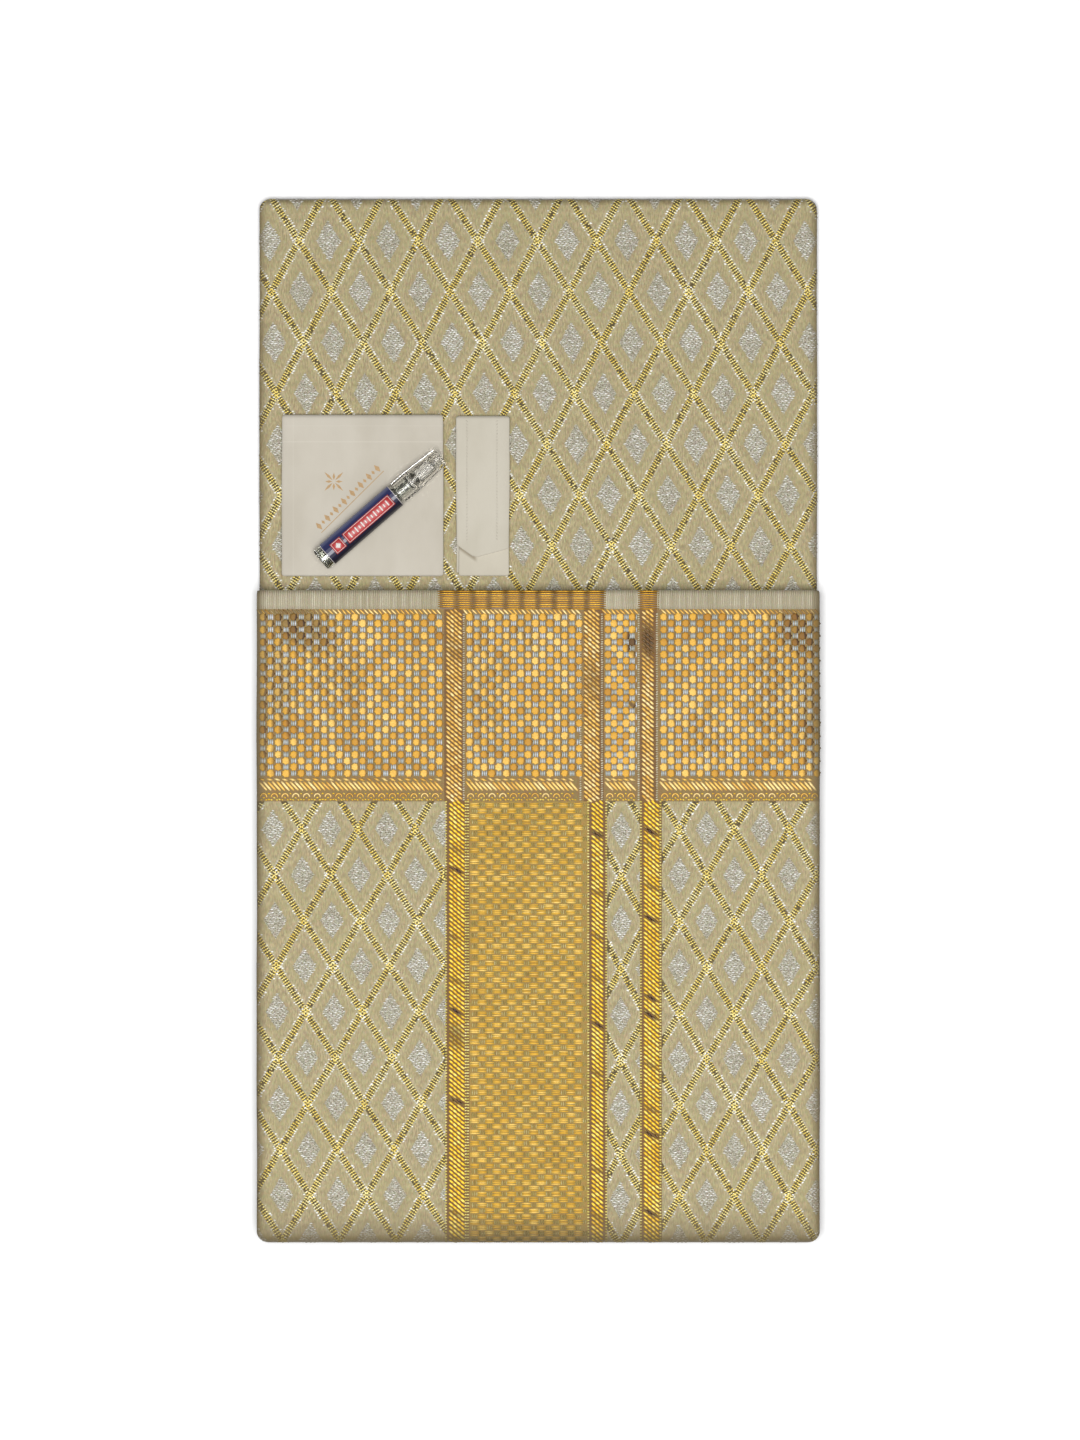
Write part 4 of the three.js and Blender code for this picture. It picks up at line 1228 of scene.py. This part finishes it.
threadPiece("sashSeams", seams, "sash_leaf")
print("sash folded", len(leafPiece.data.polygons), len(sashPiece.data.polygons))


# vial
vial = {
    "base": Vector((-123.6, 90.5, 20.45)) * mm, "way": Vector((0.754137, 0.656717, 0.0)),
    "labelRadius": 7.05 * mm, "roll": math.radians(-4),
    "square": (9.5, 16.9), "long": (18.8, 53.2), "plateWidth": 7.4, "borderInset": 0.5, "borderWidth": 0.26,
    "ridges": (60.3, 62.4, 64.5, 66.6), "ridgeRadius": 6.86, "ridgeWire": 0.26,
}
side = Vector((0, 0, 1)).cross(vial["way"])


def vialPoint(along, angle, radius):              # angle 0 faces straight up
    out = Vector((0, 0, 1)) * math.cos(angle) + side * math.sin(angle)
    return vial["base"] + vial["way"] * along + out * radius


def wrappedPatch(name, start, end, low, high, lift, material):
    # a thin printed patch that follows the label's round, low and high in mm round it
    radius = vial["labelRadius"] + lift
    columns, rows = max(2, int((high - low) / 0.35) + 1), max(2, int((end - start) / 3.0) + 2)
    points = []
    for thick in (0.0, 0.02 * mm):
        for r in range(rows):
            along = (start + (end - start) * r / (rows - 1)) * mm
            for c in range(columns):
                angle = (low + (high - low) * c / (columns - 1)) * mm / vial["labelRadius"] + vial["roll"]
                points.append(vialPoint(along, angle, radius + thick))
    size = rows * columns
    faces = [tuple(f) for f in gridFaces(rows, columns)]
    upper = [tuple(size + i for i in reversed(f)) for f in faces]
    sideShade = list(range(columns)) + [r * columns + columns - 1 for r in range(1, rows)]
    sideShade += [size - 1 - c for c in range(1, columns)] + [r * columns for r in range(rows - 2, 0, -1)]
    walls = [(a, b, b + size, a + size) for a, b in zip(sideShade, sideShade[1:] + sideShade[:1])]
    patch = meshObject(name, points, faces + upper + walls, None, [material])
    patch.data.validate()
    return patch


def plainMaterial(name, colour, roughness, metallic=0.0, mottled=0.04, scale=900.0, bump=0.01, **fixed):
    material, tree, shader = newMaterial(name, roughness, metallic, **fixed)
    where = ownPlace(tree)
    grain = noise(tree, where, scale, 3.0, 0.55)[0]
    dark = tuple(c * (1 - mottled * 4) for c in colour)
    tree.links.new(mixColour(tree, stepped(tree, grain, 0.3, 0.7), dark, colour), shader.inputs["Base Color"])
    rough = calc(tree, "ADD", roughness - 0.04, calc(tree, "MULTIPLY", grain, 0.08))
    tree.links.new(rough, shader.inputs["Roughness"])
    addBump(tree, shader, grain, bump * mm, 0.5)
    return material


redPrint = plainMaterial("redPrint", (0.42, 0.030, 0.030), 0.40, 0.0, 0.03, 500.0, 0.004)
palePrint = plainMaterial("palePrint", (0.75, 0.70, 0.66), 0.35, 0.0, 0.02, 500.0, 0.004)
bronzePrint = plainMaterial("bronzePrint", (0.44, 0.27, 0.11), 0.6, 0.0, 0.06, 1500.0, 0.02)


def filmMaterial():
    # a dark printed film, with a painted blue sheen toward one side and painted shade toward the other
    material, tree, shader = newMaterial("navyFilm", 0.34, 0.0, Specular_IOR_Level=0.6)
    where = ownPlace(tree)
    across = vectorCalc(tree, "DOT_PRODUCT", where, tuple(side))
    place = calc(tree, "DIVIDE", calc(tree, "SUBTRACT", across, vial["base"].dot(side)), vial["labelRadius"])
    grain = noise(tree, where, 160.0, 2.0, 0.5, (1.0, 1.0, 1.0))[0]
    share = calc(tree, "ADD", calc(tree, "MULTIPLY", place, 0.5), calc(tree, "MULTIPLY", grain, 0.06))
    colour = colourRamp(tree, calc(tree, "ADD", share, 0.47), [
        (0.10, (0.004, 0.004, 0.016)), (0.5, (0.010, 0.010, 0.050)), (0.80, (0.022, 0.026, 0.095)),
        (0.90, (0.060, 0.075, 0.185)), (1.0, (0.10, 0.12, 0.26))])
    tree.links.new(colour, shader.inputs["Base Color"])
    addBump(tree, shader, grain, 0.004 * mm, 0.5)
    return material


navyFilm = filmMaterial()
clearGlass = plainMaterial("clearGlass", (0.93, 0.95, 0.92), 0.04, 0.0, 0.01, 60.0, 0.002,
                           Transmission_Weight=1.0, IOR=1.5)
clearPlastic = plainMaterial("clearPlastic", (0.98, 0.98, 0.97), 0.07, 0.0, 0.005, 120.0, 0.001,
                             Transmission_Weight=1.0, IOR=1.14)
milkyPlastic = plainMaterial("milkyPlastic", (0.60, 0.57, 0.51), 0.45, 0.0, 0.02, 200.0, 0.004,
                             Transmission_Weight=0.15, IOR=1.4)
paleLiquid = plainMaterial("paleLiquid", (0.97, 0.96, 0.90), 0.03, 0.0, 0.005, 30.0, 0.001,
                           Transmission_Weight=1.0, IOR=1.36)
gasketRubber = plainMaterial("gasketRubber", (0.05, 0.05, 0.048), 0.6, 0.0, 0.06, 1200.0, 0.02)
springSteel = plainMaterial("springSteel", (0.62, 0.61, 0.58), 0.25, 1.0, 0.03, 900.0, 0.004)
greyBoard = plainMaterial("greyBoard", (0.42, 0.37, 0.29), 0.85, 0.0, 0.08, 1400.0, 0.05)
finishes = {
    "vial_glass": clearGlass, "vial_label": navyFilm, "vial_perfume": paleLiquid, "vial_dip_tube": clearPlastic,
    "vial_gasket": gasketRubber, "vial_pump_body": milkyPlastic, "vial_pump_spring": springSteel,
    "vial_pump_stem": milkyPlastic, "vial_collar": clearPlastic, "vial_button": milkyPlastic,
    "vial_nozzle": milkyPlastic, "vial_cap": clearPlastic, "back_card": greyBoard,
}
for name, finish in finishes.items():
    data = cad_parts[name].data
    data.materials.clear()
    data.materials.append(finish)

half = vial["plateWidth"] / 2
prints = []
for start, end in (vial["square"], vial["long"]):
    prints.append(wrappedPatch("plate", start, end, -half, half, 0.02 * mm, redPrint))
    near, wide = vial["borderInset"], vial["borderWidth"]
    for a, b, low, high in ((start + near, end - near, -half + near, -half + near + wide),
                            (start + near, end - near, half - near - wide, half - near),
                            (start + near, start + near + wide, -half + near + wide, half - near - wide),
                            (end - near - wide, end - near, -half + near + wide, half - near - wide)):
        prints.append(wrappedPatch("plateBorder", a, b, low, high, 0.045 * mm, palePrint))
bars = {"count": 13, "start": 21.9, "pitch": 2.3, "wide": 0.8, "tall": (1.75, 1.0)}
for k in range(bars["count"]):                     # a plain row of upright bars stands on the long plate
    at, tall = bars["start"] + k * bars["pitch"], bars["tall"][k % 2]
    prints.append(wrappedPatch("plateBar", at, at + bars["wide"], -tall, tall, 0.045 * mm, palePrint))
for k in range(7):                                 # and a plain lozenge, built of strips, on the square one
    at, tall = 11.45 + 0.5 * k, 1.9 - 0.55 * abs(k - 3)
    prints.append(wrappedPatch("plateLozenge", at, at + 0.5, -tall, tall, 0.045 * mm, palePrint))
for at in (4.85, 56.0):
    prints.append(wrappedPatch("labelLine", at, at + 0.25, -11.0, 11.0, 0.01 * mm, palePrint))
labelPrint = joined("labelPrint", prints)
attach(labelPrint, "vial")


def ridgeRings():
    points, faces, turns, wires = [], [], 40, 6
    for ring, along in enumerate(vial["ridges"]):
        base = len(points)
        for t in range(turns):
            angle = 2 * math.pi * t / turns
            for w in range(wires):
                bend = 2 * math.pi * w / wires
                points.append(vialPoint((along + vial["ridgeWire"] * math.sin(bend)) * mm, angle,
                                        (vial["ridgeRadius"] + vial["ridgeWire"] * math.cos(bend)) * mm))
        for t in range(turns):
            for w in range(wires):
                here, there, up = base + t * wires, base + ((t + 1) % turns) * wires, (w + 1) % wires
                faces.append((here + w, there + w, there + up, here + up))
    return meshObject("collarRidges", points, faces, None, [clearPlastic])



def springCoil(rounds=5, steps=24, wires=8, wire=0.22):
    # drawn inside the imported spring's own reach along the vial
    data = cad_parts["vial_pump_spring"].data
    offsets = [v.co - vial["base"] for v in data.vertices]
    places = [o.dot(vial["way"]) for o in offsets]
    widest = max((o - vial["way"] * p).length for o, p in zip(offsets, places))
    low, high, radius = min(places) + wire * mm, max(places) - wire * mm, widest - wire * mm
    points, faces, count = [], [], rounds * steps
    for k in range(count + 1):
        angle, along = 2 * math.pi * k / steps, low + (high - low) * k / count
        for w in range(wires):
            bend = 2 * math.pi * w / wires
            points.append(vialPoint(along + wire * mm * math.sin(bend), angle,
                                    radius + wire * mm * math.cos(bend)))
    for k in range(count):
        for w in range(wires):
            a, b = k * wires + w, k * wires + (w + 1) % wires
            faces.append((a, a + wires, b + wires, b))
    faces.append(tuple(range(wires)))
    faces.append(tuple(reversed(range(count * wires, (count + 1) * wires))))
    return meshObject("pumpSpring", points, faces, None, [springSteel]), min(places), max(places)


spring, springLow, springHigh = springCoil()
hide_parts("vial_pump_spring")
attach(spring, "vial")
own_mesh(spring)

ridges = ridgeRings()
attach(ridges, "vial")

# a plain bronze mark printed on the kerchief: a bar under a row of lozenges, and an eight-point star over them
mark = {"start": (-123.3, 106.4), "angle": math.radians(44.8), "length": 50.0, "band": 5.6, "barWidth": 0.42,
        "lozenges": 15, "star": (-116.4, 135.7), "starRadius": 7.6, "lift": 0.03}


def printedMark():
    points, faces = [], []
    way = Vector((math.cos(mark["angle"]), math.sin(mark["angle"])))
    up = Vector((-way.y, way.x))
    start = Vector(mark["start"])

    def shape(outline, middle, forward):
        base = len(points)
        for a, b in outline:
            spot = middle + forward * a + Vector((-forward.y, forward.x)) * b
            points.append((spot.x * mm, spot.y * mm, 0.0))
        faces.append(tuple(range(base, len(points))))

    pieces = 24
    for k in range(pieces):
        a0, a1 = mark["length"] * k / pieces, mark["length"] * (k + 1) / pieces
        shape(((a0, 0), (a1, 0), (a1, mark["barWidth"]), (a0, mark["barWidth"])), start, way)
    step = mark["length"] / mark["lozenges"]
    for k in range(mark["lozenges"]):
        middle = start + way * (step * (k + 0.5)) + up * (mark["band"] / 2 + 1.0)
        wide, tall = (1.35, 2.7) if k % 2 == 0 else (0.9, 1.4)
        shape(((-wide, 0), (0, -tall), (wide, 0), (0, tall)), middle, way)
    star = Vector(mark["star"])
    for k in range(8):
        angle = mark["angle"] + math.pi * k / 4
        ray = Vector((math.cos(angle), math.sin(angle)))
        reach = mark["starRadius"] * (1.0 if k % 2 == 0 else 0.66)
        shape(((0.9, 0), (reach * 0.55, -0.75), (reach, 0), (reach * 0.55, 0.75)), star, ray)
    under = bpy.context.evaluated_depsgraph_get()
    tree = BVHTree.FromObject(kerchiefPiece, under)
    placed = []
    for x, y, z in points:
        hit = tree.ray_cast(Vector((x, y, 0.05)), Vector((0, 0, -1)))[0]
        placed.append((x, y, hit.z + mark["lift"] * mm))
    return meshObject("kerchiefPrint", placed, faces, None, [bronzePrint])


printPiece = printedMark()
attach(printPiece, "kerchief")
print("vial and prints ready")

for piece in helpers:
    bpy.data.objects.remove(piece)
